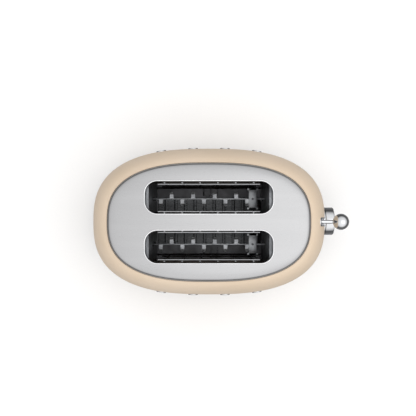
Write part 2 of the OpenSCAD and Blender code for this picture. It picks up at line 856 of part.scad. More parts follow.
module carrier_strap() {
    rivet_d = 4;
    translate([strap_x, 0, rail_z]) {
        block([-strap_w / 2, -strap_half, 0], [strap_w / 2, strap_half, strap_t]);
        for (side = [0, 1]) mirror([0, side, 0])
            block([-strap_foot_w / 2, strap_half - 3, 0], [strap_foot_w / 2, strap_half, strap_t]);
        translate([0, 0, strap_t / 2]) upright(rivet_d, strap_t / 2 + 0.8);
    }
}

module carrier_strap_left() {
    color("#9a9ca0") placed() translate([0, slot_y, 0]) carrier_strap();
}

module carrier_strap_right() {
    color("#9a9ca0") placed() translate([0, -slot_y, 0]) carrier_strap();
}

module magnet_keeper() {
    half = 8;
    color("#5a5c60") placed() translate([keeper_x, keeper_y, keeper_z])
        block([-half, -half, 0], [half, half, keeper_t]);
}

module lever_arm() {
    color("#dcdcde") placed() {
        block([riser_x, -riser_t / 2, rail_z - 13], [riser_x + riser_w, riser_t / 2, lever_z + 4]);
        translate([0, 0, lever_z])
            rod_x(lever_rod_d, riser_x + riser_w - 3, knob_x - knob_d / 2 + knob_bore_depth);
    }
}

module lever_knob() {
    color("#e4e4e6") placed() translate([knob_x, 0, lever_z]) difference() {
        sphere(d = knob_d, $fn = 72);
        rod_x(lever_rod_d + 2 * running_gap, -knob_d, knob_bore_depth - knob_d / 2 + seat_gap);
    }
}

module lift_spring() {
    steps = spring_turns * spring_ring_steps;
    rise = spring_top_z - spring_low_z - spring_wire;
    color("#a8aaae") placed() translate([keeper_x, -keeper_y, spring_low_z + spring_wire / 2])
        sweep([
            for (i = [0 : steps])
                let(turn = 360 * i / spring_ring_steps)
                [spring_d / 2 * cos(turn), spring_d / 2 * sin(turn), rise * i / steps]
        ], spring_wire, spring_sides);
}

// A wire grille hinged at its foot; out is +1 or -1, away from the bread
module bread_guide(y, out) {
    upright_d = wire_d - 0.2;
    weld_offset = wire_d - 0.2;
    color("#a4a6aa") placed() translate([0, y, 0]) {
        translate([0, 0, guide_hinge_z]) rod_x(wire_d, -guide_pin_x, guide_pin_x);
        for (z = [guide_hinge_z + 50, guide_top_z]) translate([0, 0, z])
            rod_x(wire_d, -guide_half_l, guide_half_l);
        for (i = [0 : guide_wires - 1])
            translate([(i - (guide_wires - 1) / 2) * wire_pitch, out * weld_offset, guide_hinge_z - 0.5])
                upright(upright_d, guide_top_z - guide_hinge_z + 1);
    }
}

module bread_guide_outer_left() {
    bread_guide(slot_y + guide_gap / 2, 1);
}

module bread_guide_inner_left() {
    bread_guide(slot_y - guide_gap / 2, -1);
}

module bread_guide_inner_right() {
    bread_guide(guide_gap / 2 - slot_y, 1);
}

module bread_guide_outer_right() {
    bread_guide(-slot_y - guide_gap / 2, -1);
}

module browning_dial() {
    chamfer = 0.8;
    hub_back_x = half_l(dial_z) - 8;
    color("#e4e4e6") placed() translate([0, 0, dial_z]) difference() {
        union() {
            rod_x(dial_d, dial_back_x, dial_back_x + dial_t - chamfer);
            translate([dial_back_x + dial_t - chamfer, 0, 0]) rotate([0, 90, 0])
                cylinder(d1 = dial_d, d2 = dial_d - 2 * chamfer, h = chamfer, $fn = 64);
            rod_x(dial_hub_d, hub_back_x, dial_back_x + 1);
        }
        rod_x(shaft_d + 2 * running_gap, hub_back_x - 1, dial_back_x + 4 + seat_gap);
    }
}

module dial_shaft() {
    color("#c8c8cc") placed() translate([0, 0, dial_z])
        rod_x(shaft_d, board_x + board_t + 1.5, dial_back_x + 4);
}

module button(side, up) {
    stem_x = board_x + board_t + switch_t + button_travel + seat_gap;
    face_x = bezel_face_x(up) + button_face;
    color("#e4e4e6") placed() translate([0, side * button_y, button_z(up)]) {
        rod_x(button_d, face_x - button_cap, face_x);
        rod_x(stem_d, stem_x, face_x - button_cap + 1);
    }
}

module button_upper_left() {
    button(1, 1);
}

module button_lower_left() {
    button(1, -1);
}

module button_upper_right() {
    button(-1, 1);
}

module button_lower_right() {
    button(-1, -1);
}

module crumb_tray() {
    color("#c4c6ca") placed() difference() {
        block([tray_back_x, -tray_w / 2, tray_z], [tray_front_x - 1, tray_w / 2, tray_z + tray_h]);
        block([tray_back_x + tray_sheet, tray_sheet - tray_w / 2, tray_z + tray_sheet],
            [tray_front_x - 1 - tray_sheet, tray_w / 2 - tray_sheet, tray_z + tray_h + 1]);
    }
}

module tray_handle() {
    low_z = mouth_low_z + 0.6;
    top_z = mouth_top_z - 0.6;
    face_a = half_l(tray_z + tray_h) + 0.5;
    face_b = half_w(tray_z + tray_h) + 0.5;
    half = mouth_half_w - 0.8;
    grip_x = -shell_l / 2;
    color("#e4e4e6") placed() {
        intersection() {
            outline_wall(face_a, face_b, 3, low_z, top_z);
            block([-shell_l, -half, 0], [0, half, overall_h]);
        }
        block([2 - face_a, -30, tray_z + 2], [tray_back_x, 30, tray_z + 4]);
        block([grip_x, -30, top_z - 3], [2 - face_a, 30, top_z - 0.5]);
    }
}

body_shell();
top_plate();
base_ring();
base_pan();
feet();
trim_studs();
lever_escutcheon();
dial_bezel();
button_bezels();
chassis_front();
chassis_rear();
chassis_rails();
chassis_fasteners();
board_brackets();
reflector_left();
reflector_right();
centre_divider();
heater_card_outer_left();
heater_card_inner_left();
heater_card_inner_right();
heater_card_outer_right();
heating_ribbon_outer_left();
heating_ribbon_inner_left();
heating_ribbon_inner_right();
heating_ribbon_outer_right();
guide_rod();
magnet_core();
magnet_coil();
mains_switch();
control_board();
dial_potentiometer();
button_switches();
terminal_block();
wiring_loom();
cord_gland();
cord_cleats();
tray_runners();
floor_baffles();
carriage_frame();
guide_bush();
bread_carrier_left();
bread_carrier_right();
carrier_strap_left();
carrier_strap_right();
magnet_keeper();
lever_arm();
lever_knob();
lift_spring();
bread_guide_outer_left();
bread_guide_inner_left();
bread_guide_inner_right();
bread_guide_outer_right();
browning_dial();
dial_shaft();
button_upper_left();
button_lower_left();
button_upper_right();
button_lower_right();
crumb_tray();
tray_handle();
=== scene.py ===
"""Pop-up toaster with an enamelled oval shell, a brushed top plate and a chrome lever and dial."""

import json
import math

import bpy
from mathutils import Matrix, Vector


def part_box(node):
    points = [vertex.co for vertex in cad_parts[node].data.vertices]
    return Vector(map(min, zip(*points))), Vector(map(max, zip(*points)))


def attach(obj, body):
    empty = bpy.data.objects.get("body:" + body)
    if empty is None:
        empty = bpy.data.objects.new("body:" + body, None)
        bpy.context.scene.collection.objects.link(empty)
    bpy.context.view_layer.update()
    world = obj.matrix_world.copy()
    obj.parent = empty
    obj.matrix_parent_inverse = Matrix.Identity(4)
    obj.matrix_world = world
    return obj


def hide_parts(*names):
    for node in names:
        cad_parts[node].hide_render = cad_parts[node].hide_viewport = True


bl_info = {
    "name": "Pop-up toaster",
    "version": (1, 0, 0),
    "blender": (4, 5, 0),
    "location": "3D View > Sidebar > Toaster",
    "description": "Models the visible pieces of a two-slot pop-up toaster and gives them their finishes",
    "category": "Object",
}

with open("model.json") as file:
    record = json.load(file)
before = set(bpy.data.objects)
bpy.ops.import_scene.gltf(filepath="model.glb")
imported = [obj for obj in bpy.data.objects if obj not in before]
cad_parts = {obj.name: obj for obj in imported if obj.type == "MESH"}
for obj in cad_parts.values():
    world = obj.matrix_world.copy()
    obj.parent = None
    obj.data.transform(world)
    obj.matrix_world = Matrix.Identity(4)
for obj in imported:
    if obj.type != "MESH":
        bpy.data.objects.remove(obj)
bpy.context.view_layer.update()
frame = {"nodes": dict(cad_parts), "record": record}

MM = 0.001
SHELL_LOW, SHELL_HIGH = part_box("body_shell")
PLATE_LOW, PLATE_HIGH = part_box("top_plate")
RING_LOW, RING_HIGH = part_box("base_ring")
KNOB_LOW, KNOB_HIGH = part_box("lever_knob")
DIAL_LOW, DIAL_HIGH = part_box("browning_dial")
MIDDLE_X = (PLATE_LOW.x + PLATE_HIGH.x) / 2
RIM_Z = PLATE_LOW.z
LEVER_Z = (KNOB_LOW.z + KNOB_HIGH.z) / 2
DIAL_Z = (DIAL_LOW.z + DIAL_HIGH.z) / 2
# Half sizes of the shell at its waist and of the plate's edge
WAIST_A = MIDDLE_X - SHELL_LOW.x
WAIST_B = (SHELL_HIGH.y - SHELL_LOW.y) / 2
PLATE_A = (PLATE_HIGH.x - PLATE_LOW.x) / 2
PLATE_B = (PLATE_HIGH.y - PLATE_LOW.y) / 2
# Height of the plate's bead above its rim
BEAD_RISE = 1.2 * MM
BUTTONS = ("button_upper_left", "button_lower_left", "button_upper_right", "button_lower_right")
# Rim of a button's surround beyond the button, with the gap round it
BEZEL_RIM = 2.35 * MM
# Corners closer to a plane than this lie in it
FLAT = 0.001 * MM
# Share of its length that an edge must run along an axis
NEARLY = 0.999
# Bevel of half the width, kept just short of closing the flat between
ROUND_END = 0.4995
# Ovals of the shell below and above its waist, and of the plate's crown
TUCK_STEPS = 8
SHOULDER_STEPS = 30
CROWN_STEPS = 30
# How far the shoulder leans in at the plate, and how far the crown's section is swept
RIM_LEAN = math.radians(87.5)
CROWN_SWEEP = 86
# How far a lip reaches down into its slot
LIP_DROP = 3 * MM
# How far a lip stands proud of the plate
LIP_PROUD = 0.4 * MM
# Hole in the base ring for the cord's gland
GLAND_HOLE = 9.8 * MM
# Faint glow that keeps the studio paper white
FLOOR_GLOW = 0.03
# How far a stud stands out of the shell, and how far its back lies under the paint
STUD_OUT = 1.2 * MM
SUNK = 0.15 * MM
# How far the lever's surround stands out of the shell and reaches into it
ESCUTCHEON_OUT = 1.2 * MM
ESCUTCHEON_DEPTH = 4 * MM
# Height of a tray rib as a share of its width
RIB_FLATNESS = 0.35
CAMERA_HEIGHT = 1.047
CAMERA_LENS = 61.37
CAMERA_Y = 8 * MM
CAMERA_SHIFT = (-0.0024, 0.0180)
# Tones of the dome by the height of the direction, from straight down to straight up
DOME = ((-1.0, 0.3), (-0.7, 0.25), (-0.1, 0.1), (0.03, 0.25), (0.3, 0.85), (0.6, 1.25),
        (0.8, 1.32), (1.0, 1.38))
# How much brighter the dome is towards +X, and towards -Y
DOME_LEAN = 0.12
DOME_NEAR = 0.12
# Each softbox: name, place, size and power in watts
SOFTBOXES = (("softbox_top", (0.75, -0.1, 1.9), (1.5, 1.8), 3.8),)


# ---------------- settings


def length(name, description, size_mm):
    """A length setting with its default in millimetres."""
    return bpy.props.FloatProperty(name=name, description=description, default=size_mm * MM,
                                   unit="LENGTH")


def power(name, description, size):
    """A squareness setting."""
    return bpy.props.FloatProperty(name=name, description=description, default=size, min=1.2, max=8.0)


def tone(name, description, code):
    """A colour setting, as sRGB hex."""
    return bpy.props.StringProperty(name=name, description=f"{description}, sRGB hex", default=code)


class ShapeSettings(bpy.types.PropertyGroup):
    """Sizes of the shell and the plate that the frame's boxes don't give."""

    waist_z: length("Waist height", "Height at which the shell is widest", 62)
    tuck: length("Lower tuck", "How far the shell draws in below its waist", 5)
    outline_power: power("Outline squareness", "Squareness of the plan outline, where 2 is an ellipse", 2.65)
    shoulder_power: power("Shoulder squareness", "Squareness of the shoulder's curve", 1.8)
    crown_power: power("Crown squareness", "Squareness of the plate's rounded rim", 5.0)
    outline_steps: bpy.props.IntProperty(
        name="Outline steps", description="Corners of each oval outline", default=192, min=48)
    slot_length: length("Slot length", "Length of a bread slot", 154)
    slot_width: length("Slot width", "Width of a bread slot", 39)
    slot_radius: length("Slot corner", "Corner radius of a bread slot", 15)
    slot_pitch: length("Slot pitch", "Distance between the middles of the slots", 59.4)
    lip_radius: length("Slot lip", "Radius of the rolled lip round a slot", 0.65)
    wall: length("Sheet", "Thickness of the shell's and the plate's sheet", 1.6)
    bead: length("Bead", "Width of the polished bead round the plate", 0.9)
    lever_slot: length("Lever slot", "Width of the slot that the lever runs in", 6.4)
    rod_diameter: length("Lever rod", "Diameter of the lever's rod", 5)
    stud_diameter: length("Stud", "Diameter of a trim stud", 12.8)
    stud_pitch: length("Stud pitch", "Distance between neighbouring studs", 42.5)
    foot_diameter: length("Foot", "Diameter of a foot", 20)


class FinishSettings(bpy.types.PropertyGroup):
    """Colours of the finishes."""

    enamel: tone("Powder coat", "Champagne powder coat", "DBC8B2")
    enamel_shade: tone("Powder coat shade", "Deeper tone of the powder coat", "D6C2AA")
    steel: tone("Stainless steel", "Brushed stainless steel", "AEAEAF")
    steel_shade: tone("Stainless steel shade", "Deeper brush lines", "ABABAC")
    chrome: tone("Chrome", "Chrome plate", "CFD0D2")
    chrome_shade: tone("Chrome shade", "Deeper tone of the chrome plate", "C8C9CB")


def shape():
    """The shape settings of the open scene."""
    return bpy.context.scene.toaster_shape


def finishes():
    """The finish settings of the open scene."""
    return bpy.context.scene.toaster_finish


# ---------------- outline of the body


def shoulder(z):
    """Share of the way from the waist to the plate's edge at height z."""
    s = shape()
    t = min(1.0, max(0.0, (z - s.waist_z) / (RIM_Z - s.waist_z)))
    return 1 - (1 - t ** s.shoulder_power) ** (1 / s.shoulder_power)


def tuck(z):
    """Inward draw of the shell below its waist at height z."""
    s = shape()
    return s.tuck * max(0.0, (s.waist_z - z) / (s.waist_z - SHELL_LOW.z)) ** 2


def half_length(z):
    """Half length of the shell's outside at height z."""
    return WAIST_A - (WAIST_A - PLATE_A) * shoulder(z) - tuck(z)


def half_width(z):
    """Half width of the shell's outside at height z."""
    return WAIST_B - (WAIST_B - PLATE_B) * shoulder(z) - tuck(z)


def outline_x(y, a, b):
    """Distance of an oval outline from the middle of its length, at a place across its width."""
    p = shape().outline_power
    return a * (1 - (abs(y) / b) ** p) ** (1 / p)


def outline_y(x, a, b):
    """Distance of an oval outline from the middle of its width, at a place along its length."""
    p = shape().outline_power
    return b * (1 - (abs(x) / a) ** p) ** (1 / p)


def outline_turn(x, a, b):
    """Turn of the outline's outward normal away from straight across."""
    p = shape().outline_power
    y = outline_y(x, a, b)
    return math.copysign(math.atan(b / a * (abs(x) / a) ** (p - 1) / (y / b) ** (p - 1)), x)


def crown_at(share):
    """Height of the crowned plate at a share of the way out to its bead."""
    q = shape().crown_power
    foot_z = RIM_Z + BEAD_RISE
    return foot_z + (PLATE_HIGH.z - LIP_PROUD - foot_z) * (1 - min(1.0, share) ** q) ** (1 / q)


def crown_z(x, y):
    """Height of the crowned plate at a place in plan."""
    s = shape()
    p = s.outline_power
    across = abs(x - MIDDLE_X) / (PLATE_A - s.bead)
    over = abs(y) / (PLATE_B - s.bead)
    return crown_at((across ** p + over ** p) ** (1 / p))


# ---------------- modelling helpers


def leave_edit():
    """Goes back to object mode."""
    bpy.ops.object.mode_set(mode="OBJECT")


def alone():
    """Leaves edit mode and deselects everything."""
    if bpy.context.object and bpy.context.object.mode != "OBJECT":
        leave_edit()
    bpy.ops.object.select_all(action="DESELECT")


def primitive(kind, **sizes):
    """Adds one mesh primitive, selected and active, and returns it."""
    alone()
    getattr(bpy.ops.mesh, f"primitive_{kind}_add")(**sizes)
    return bpy.context.object


def active(piece):
    """Makes one piece the only selected and active one."""
    alone()
    piece.select_set(True)
    bpy.context.view_layer.objects.active = piece
    return piece


def choose(piece, kind, test):
    """Selects in edit mode the vertices, edges or faces of a piece that pass a test."""
    active(piece)
    mesh = piece.data
    for part in (*mesh.vertices, *mesh.edges, *mesh.polygons):
        part.select = False
    chosen = {"VERT": mesh.vertices, "EDGE": mesh.edges, "FACE": mesh.polygons}[kind]
    for part in chosen:
        part.select = bool(test(part))
    bpy.ops.object.mode_set(mode="EDIT")
    bpy.ops.mesh.select_mode(type=kind)


def modify(piece, kind, **settings):
    """Adds a modifier with its settings and applies it."""
    active(piece)
    modifier = piece.modifiers.new(kind.title(), kind)
    for name, value in settings.items():
        setattr(modifier, name, value)
    bpy.ops.object.modifier_apply(modifier=modifier.name)


def cut(piece, cutters):
    """Cuts other closed pieces out of a piece and removes them."""
    for cutter in cutters:
        modify(piece, "BOOLEAN", operation="DIFFERENCE", solver="EXACT", object=cutter)
        bpy.data.objects.remove(cutter)


def joined(pieces):
    """Joins pieces into the first one."""
    alone()
    for piece in pieces:
        piece.select_set(True)
    bpy.context.view_layer.objects.active = pieces[0]
    bpy.ops.object.join()
    return pieces[0]


def copied(piece, place):
    """Copies a piece with its own mesh and moves it by a matrix."""
    twin = piece.copy()
    twin.data = piece.data.copy()
    bpy.context.scene.collection.objects.link(twin)
    twin.matrix_world = place @ piece.matrix_world
    return twin


def settled(piece):
    """Puts a piece's place into its mesh, and its object at the origin."""
    active(piece)
    bpy.ops.object.transform_apply(location=True, rotation=True, scale=True)
    return piece


def finished(piece, name, body, slot, replaced=(), angle=30):
    """Settles, smooths, names and finishes a piece, and lets it ride on its body."""
    settled(piece)
    bpy.ops.object.mode_set(mode="EDIT")
    bpy.ops.mesh.select_all(action="SELECT")
    bpy.ops.mesh.remove_doubles(threshold=0.002 * MM)
    bpy.ops.mesh.normals_make_consistent(inside=False)
    leave_edit()
    bpy.ops.object.shade_smooth_by_angle(angle=math.radians(angle))
    piece.name = name
    piece.data.name = name
    piece.data.materials.clear()
    piece.data.materials.append(material(slot))
    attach(piece, body)
    if replaced:
        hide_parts(*replaced)
    return piece


def oval_stack(rings, closed=False, caps=(False, False)):
    """Stacks ovals of (half length, half width, height), skinned from first to last.
    closed joins the last oval to the first, and caps fill the first and the last."""
    s = shape()
    a, b, z = rings[0]
    piece = primitive("circle", vertices=s.outline_steps, radius=1,
                      fill_type="NGON" if caps[0] else "NOTHING", location=(MIDDLE_X, 0, z))
    for v in piece.data.vertices:
        share = (abs(v.co.x) ** s.outline_power + abs(v.co.y) ** s.outline_power) ** (1 / s.outline_power)
        v.co = Vector((v.co.x / share, v.co.y / share, 0))
    bpy.ops.object.mode_set(mode="EDIT")
    bpy.ops.mesh.select_mode(type="EDGE")
    bpy.ops.mesh.select_all(action="SELECT")
    bpy.ops.transform.resize(value=(a, b, 1), center_override=(MIDDLE_X, 0, z))
    for next_a, next_b, next_z in rings[1:]:
        bpy.ops.mesh.extrude_edges_move(TRANSFORM_OT_translate={"value": (0, 0, next_z - z)})
        bpy.ops.transform.resize(value=(next_a / a, next_b / b, 1), center_override=(MIDDLE_X, 0, next_z))
        a, b, z = next_a, next_b, next_z
    if caps[1]:
        bpy.ops.mesh.edge_face_add()
    leave_edit()
    if closed:
        choose(piece, "EDGE", lambda e: is_open(piece, e))
        bpy.ops.mesh.bridge_edge_loops()
    return piece


def is_open(piece, edge):
    """Whether an edge lies on the first or last oval of a stack."""
    count = shape().outline_steps
    last = len(piece.data.vertices) - count
    low, high = min(edge.vertices), max(edge.vertices)
    return high < count or low >= last


def rod(radius, start, end, sides=48):
    """Adds a round bar between two points."""
    way = Vector(end) - Vector(start)
    piece = primitive("cylinder", vertices=sides, radius=radius, depth=way.length)
    piece.matrix_world = (Matrix.Translation((Vector(start) + Vector(end)) / 2)
                          @ way.to_track_quat("Z", "Y").to_matrix().to_4x4())
    return piece


def block(low, high, bevel=0.0, segments=2):
    """Adds a box between two corners, with its edges rounded."""
    low, high = Vector(low), Vector(high)
    piece = primitive("cube", size=1, location=(low + high) / 2, scale=high - low)
    settled(piece)
    if bevel:
        bpy.ops.object.mode_set(mode="EDIT")
        bpy.ops.mesh.select_all(action="SELECT")
        bpy.ops.mesh.bevel(offset=bevel, segments=segments, affect="EDGES")
        leave_edit()
    return piece


def end_of(piece, axis, side):
    """A test for the faces, edges or vertices that lie in a piece's last plane along an axis."""
    mesh = piece.data
    limit = (max if side > 0 else min)(v.co[axis] for v in mesh.vertices)

    def test(part):
        corners = getattr(part, "vertices", None)
        if corners is None:
            return abs(part.co[axis] - limit) < FLAT
        return all(abs(mesh.vertices[i].co[axis] - limit) < FLAT for i in corners)
    return test


def bevelled(piece, kind_test, offset, segments=3):
    """Rounds the edges of a piece that pass a test."""
    choose(piece, "EDGE", kind_test)
    bpy.ops.mesh.bevel(offset=offset, segments=segments, affect="EDGES")
    leave_edit()
    return piece


def dished(piece, axis, side, width, depth, rounding):
    """Insets a piece's end face and sinks it, with the new rim rounded."""
    choose(piece, "FACE", end_of(piece, axis, side))
    bpy.ops.mesh.inset(thickness=width)
    way = [0, 0, 0]
    way[axis] = -side * depth
    bpy.ops.mesh.extrude_region_move(TRANSFORM_OT_translate={"value": way})
    bpy.ops.mesh.bevel(offset=rounding, segments=2, affect="EDGES")
    leave_edit()
    return piece


def turned(radius, start, end, rounding, sides=64):
    """A bar turned along X between two places, with its +X edge rounded."""
    piece = settled(rod(radius, start, end, sides))
    return bevelled(piece, end_of(piece, 0, 1), rounding)


def pulled(piece, test, move):
    """Moves the vertices of a piece that pass a test."""
    choose(piece, "VERT", test)
    bpy.ops.transform.translate(value=move)
    leave_edit()
    return piece


# ---------------- materials


def linear(code):
    """An sRGB hex colour as linear red, green, blue and alpha."""
    parts = [int(code[i:i + 2], 16) / 255 for i in (0, 2, 4)]
    return (*(c / 12.92 if c <= 0.04045 else ((c + 0.055) / 1.055) ** 2.4 for c in parts), 1.0)


def per(size_mm):
    """Pattern scale on Object coordinates for a feature of this many millimetres."""
    return 1 / (size_mm * MM)


def add(tree, kind, sockets=(), **settings):
    """Adds a node, sets its properties, and fills or links its sockets."""
    node = tree.nodes.new(kind)
    for name, value in settings.items():
        setattr(node, name, value)
    for name, value in dict(sockets).items():
        if isinstance(value, bpy.types.NodeSocket):
            tree.links.new(value, node.inputs[name])
        else:
            node.inputs[name].default_value = value
    return node


def blank(name, sockets):
    """A new material with its shader's constants set, with its tree and Object coordinates."""
    made = bpy.data.materials.new(name)
    made.use_nodes = True
    tree = made.node_tree
    for socket, value in sockets.items():
        tree.nodes["Principled BSDF"].inputs[socket].default_value = value
    return made, tree, add(tree, "ShaderNodeTexCoord").outputs["Object"]


def dress(made, share, dark, light, gloss, rough, relief, depth, gloss_range=(0.0, 1.0)):
    """Mixes two tones by one pattern, and lets others drive the roughness and the relief in mm."""
    tree, shader = made.node_tree, made.node_tree.nodes["Principled BSDF"]
    colour = add(tree, "ShaderNodeMix", {0: share, 6: linear(dark), 7: linear(light)}, data_type="RGBA")
    tree.links.new(colour.outputs[2], shader.inputs["Base Color"])
    level = add(tree, "ShaderNodeMapRange", {"Value": gloss, "From Min": gloss_range[0],
                                             "From Max": gloss_range[1], "To Min": rough[0],
                                             "To Max": rough[1]})
    tree.links.new(level.outputs["Result"], shader.inputs["Roughness"])
    bump = add(tree, "ShaderNodeBump", {"Height": relief, "Strength": 1.0, "Distance": depth * MM})
    tree.links.new(bump.outputs["Normal"], shader.inputs["Normal"])
    return made


def surface(name, light, dark, grain, rough, bump, stretch=(1, 1, 1), cloud=40.0, **sockets):
    """A material whose grain, in millimetres, drives its roughness and relief, under a slow tint."""
    made, tree, place = blank(name, sockets)
    drawn = add(tree, "ShaderNodeMapping", {"Vector": place, "Scale": stretch}).outputs["Vector"]
    fine = add(tree, "ShaderNodeTexNoise", {"Vector": drawn, "Scale": per(grain), "Detail": 3.0,
                                            "Roughness": 0.6}).outputs["Fac"]
    slow = add(tree, "ShaderNodeTexNoise", {"Vector": drawn, "Scale": per(cloud),
                                            "Detail": 2.0}).outputs["Fac"]
    both = add(tree, "ShaderNodeMath", {0: fine, 1: slow, 2: slow}, operation="MULTIPLY_ADD")
    share = add(tree, "ShaderNodeMapRange", {"Value": both.outputs[0], "From Min": 0.55,
                                             "From Max": 0.95}).outputs["Result"]
    return dress(made, share, dark, light, fine, rough, fine, bump, (0.3, 0.7))


def make_materials():
    """All finishes by slot name, each made once."""
    f = finishes()
    made = {}
    # Champagne powder coat, sprayed and baked: a soft satin sheen over a faint orange peel,
    # whose waves of 2 mm are drawn a little coarse so that they show
    made["cream_enamel"] = surface(
        "powder_coat_sprayed", f.enamel, f.enamel_shade, 2.0, (0.34, 0.42), 0.012, cloud=90.0,
        **{"Specular IOR Level": 0.25, "IOR": 1.5})
    # Stainless steel 430, belt brushed along its length: fine parallel lines that spread
    # highlights across them; lines of 0.05 mm are drawn 0.4 mm apart
    made["brushed_stainless"] = surface(
        "stainless_steel_belt_brushed", f.steel, f.steel_shade, 0.4, (0.26, 0.34), 0.0012,
        stretch=(0.03, 1, 1), cloud=12.0, Metallic=1.0, Anisotropic=0.45)
    # Bright chrome plate over polished steel: a mirror with faint polishing haze
    made["chrome"] = surface(
        "chrome_plate_polished", f.chrome, f.chrome_shade, 6.0, (0.045, 0.085), 0.0006,
        Metallic=1.0)
    # Stainless steel, edge rolled and buffed: smoother than the brushed field; its much brighter tone is a
    # painted highlight
    made["buffed_edge_and_highlight"] = surface(
        "stainless_steel_buffed_and_highlight", "F1F1F2", "E2E2E4", 3.0, (0.12, 0.18), 0.0008, Metallic=1.0)
    # Hot-dip galvanised steel sheet: frosty grey zinc crystals about 7 mm across
    made["galvanised_steel"] = galvanised("galvanised_steel_sheet", "9EA0A3", "7C7E81", 7.0)
    # Zinc-plated steel strip, stamped: mid grey and satin, with tumbling marks
    made["rail_steel"] = surface(
        "steel_zinc_plated", "ABADB0", "8E9093", 1.2, (0.32, 0.46), 0.006, cloud=9.0, Metallic=0.9)
    # Aluminised steel sheet, rolled, with faint rolling streaks: its tone is a dark grey far below silver,
    # painted shade of the slot's depth
    made["tray_steel"] = surface(
        "steel_aluminised_painted_shade", "58595B", "474849", 1.5, (0.24, 0.36), 0.004,
        stretch=(0.08, 1, 1), cloud=20.0, Metallic=1.0)
    # Bright annealed steel sheet behind the heaters: smooth with rolling lines, blued by heat
    made["reflector_steel"] = surface(
        "steel_bright_annealed", "A9AAAC", "8F8A84", 0.9, (0.22, 0.36), 0.003,
        stretch=(0.05, 1, 1), cloud=25.0, Metallic=1.0)
    # Phlogopite mica board, pressed: amber brown flakes with a silky pearl gloss
    made["mica"] = mica()
    # Iron-chromium-aluminium ribbon, oxidised in use: dull grey-brown scale
    made["heating_alloy"] = surface(
        "resistance_alloy_oxidised", "6E6862", "403B37", 0.5, (0.45, 0.65), 0.004, cloud=8.0,
        Metallic=0.8)
    # Steel sheet with a black oxide finish: near black with a soft oily gloss
    made["dark_steel"] = surface(
        "steel_black_oxide", "6E6E71", "59595B", 0.8, (0.34, 0.5), 0.004, cloud=18.0, Metallic=0.7)
    # Hard-drawn spring steel wire, nickel plated: bright above and darkened to near black lower down, painted
    # shade of the slot's depth
    made["spring_steel"] = wire_shaded_below()
    # Glass-filled PBT, moulded in a spark-eroded tool: black with a fine even texture,
    # whose 0.3 mm grain is drawn at 0.7 mm
    made["black_plastic"] = surface(
        "pbt_moulded_black", "242426", "19191A", 0.7, (0.42, 0.58), 0.02, cloud=30.0, IOR=1.57)
    # Polyamide, moulded in a polished tool: warm white, faintly glossy
    made["cream_plastic"] = surface(
        "polyamide_moulded", "E4DCC8", "D2C8B0", 1.0, (0.34, 0.46), 0.01, cloud=20.0,
        **{"IOR": 1.53, "Subsurface Weight": 0.05})
    # Thermoplastic rubber, moulded: matt charcoal that hardly shines, with a fine grain
    made["foot_rubber"] = surface(
        "tpe_rubber_moulded", "2B2B2C", "1F1F20", 0.8, (0.66, 0.82), 0.03, cloud=12.0, IOR=1.52)
    # Enamelled copper wire, wound: a band for each 0.5 mm turn under clear amber varnish
    made["copper"] = winding()
    # Glass-epoxy board, etched and masked: green lacquer over faint copper tracks
    made["circuit_board"] = circuit_board()
    # PVC insulation, extruded: deep maroon with a soft satin gloss
    made["red_insulation"] = surface(
        "pvc_extruded_red", "3E1512", "2C0E0C", 1.2, (0.36, 0.5), 0.01, cloud=25.0, IOR=1.53)
    # Stoving paint, screen printed: solid black with a slight gloss
    made["black_paint"] = surface(
        "stoving_paint_printed", "1B1B1C", "131314", 0.6, (0.3, 0.42), 0.003, cloud=5.0)
    return made


def galvanised(name, light, dark, spangle):
    """Zinc crystals of a given width in millimetres, each with its own tone and gloss."""
    made, tree, place = blank(name, {"Metallic": 1.0})
    cells = add(tree, "ShaderNodeTexVoronoi", {"Vector": place, "Scale": per(spangle),
                                               "Randomness": 1.0})
    shade = add(tree, "ShaderNodeSeparateColor", {0: cells.outputs["Color"]}).outputs[0]
    fine = add(tree, "ShaderNodeTexNoise", {"Vector": place, "Scale": per(0.9),
                                            "Detail": 3.0}).outputs["Fac"]
    mixed = add(tree, "ShaderNodeMath", {0: shade, 1: fine}, operation="MULTIPLY").outputs[0]
    return dress(made, mixed, dark, light, mixed, (0.46, 0.3), fine, 0.004, (0.0, 0.6))


def wire_shaded_below():
    """Nickel-plated wire painted with shade: a near-black brown below the top of the guides, bright above."""
    made, tree, place = blank("spring_wire_nickel_plated", {"Metallic": 1.0})
    grain = add(tree, "ShaderNodeTexNoise", {"Vector": place, "Scale": per(0.5)}).outputs["Fac"]
    height = add(tree, "ShaderNodeSeparateXYZ", {0: place}).outputs["Z"]
    # Painted shade: by height alone, the wire runs from its bright tone above to near black below
    lit_share = add(tree, "ShaderNodeMapRange", {"Value": height, "From Min": 130 * MM, "From Max": 168 * MM})
    return dress(made, lit_share.outputs["Result"], "1E1917", "BDBEC1", grain, (0.42, 0.26), grain, 0.002)


def mica():
    """Pressed mica flakes 5 mm across, in layers of amber and brown."""
    made, tree, place = blank("mica_board_pressed", {"IOR": 1.58, "Coat Weight": 0.2,
                                                     "Coat Roughness": 0.25})
    flakes = add(tree, "ShaderNodeTexVoronoi", {"Vector": place, "Scale": per(5.0)})
    shade = add(tree, "ShaderNodeSeparateColor", {0: flakes.outputs["Color"]}).outputs[1]
    grain = add(tree, "ShaderNodeTexNoise", {"Vector": place, "Scale": per(1.4), "Detail": 4.0})
    mixed = add(tree, "ShaderNodeMath", {0: shade, 1: grain.outputs["Fac"]}, operation="MULTIPLY").outputs[0]
    return dress(made, mixed, "5C5044", "A3927A", mixed, (0.34, 0.6), shade, 0.02)


def winding():
    """Rounded bands along the coil's height, one for each turn of wire."""
    made, tree, place = blank("copper_wire_wound", {"Metallic": 0.9, "Coat Weight": 0.6,
                                                    "Coat Roughness": 0.12})
    bands = add(tree, "ShaderNodeTexWave", {"Vector": place, "Scale": per(0.5) / math.tau * 0.5,
                                            "Distortion": 0.2}, bands_direction="Z").outputs["Fac"]
    return dress(made, bands, "6B3418", "C77B45", bands, (0.4, 0.24), bands, 0.2)


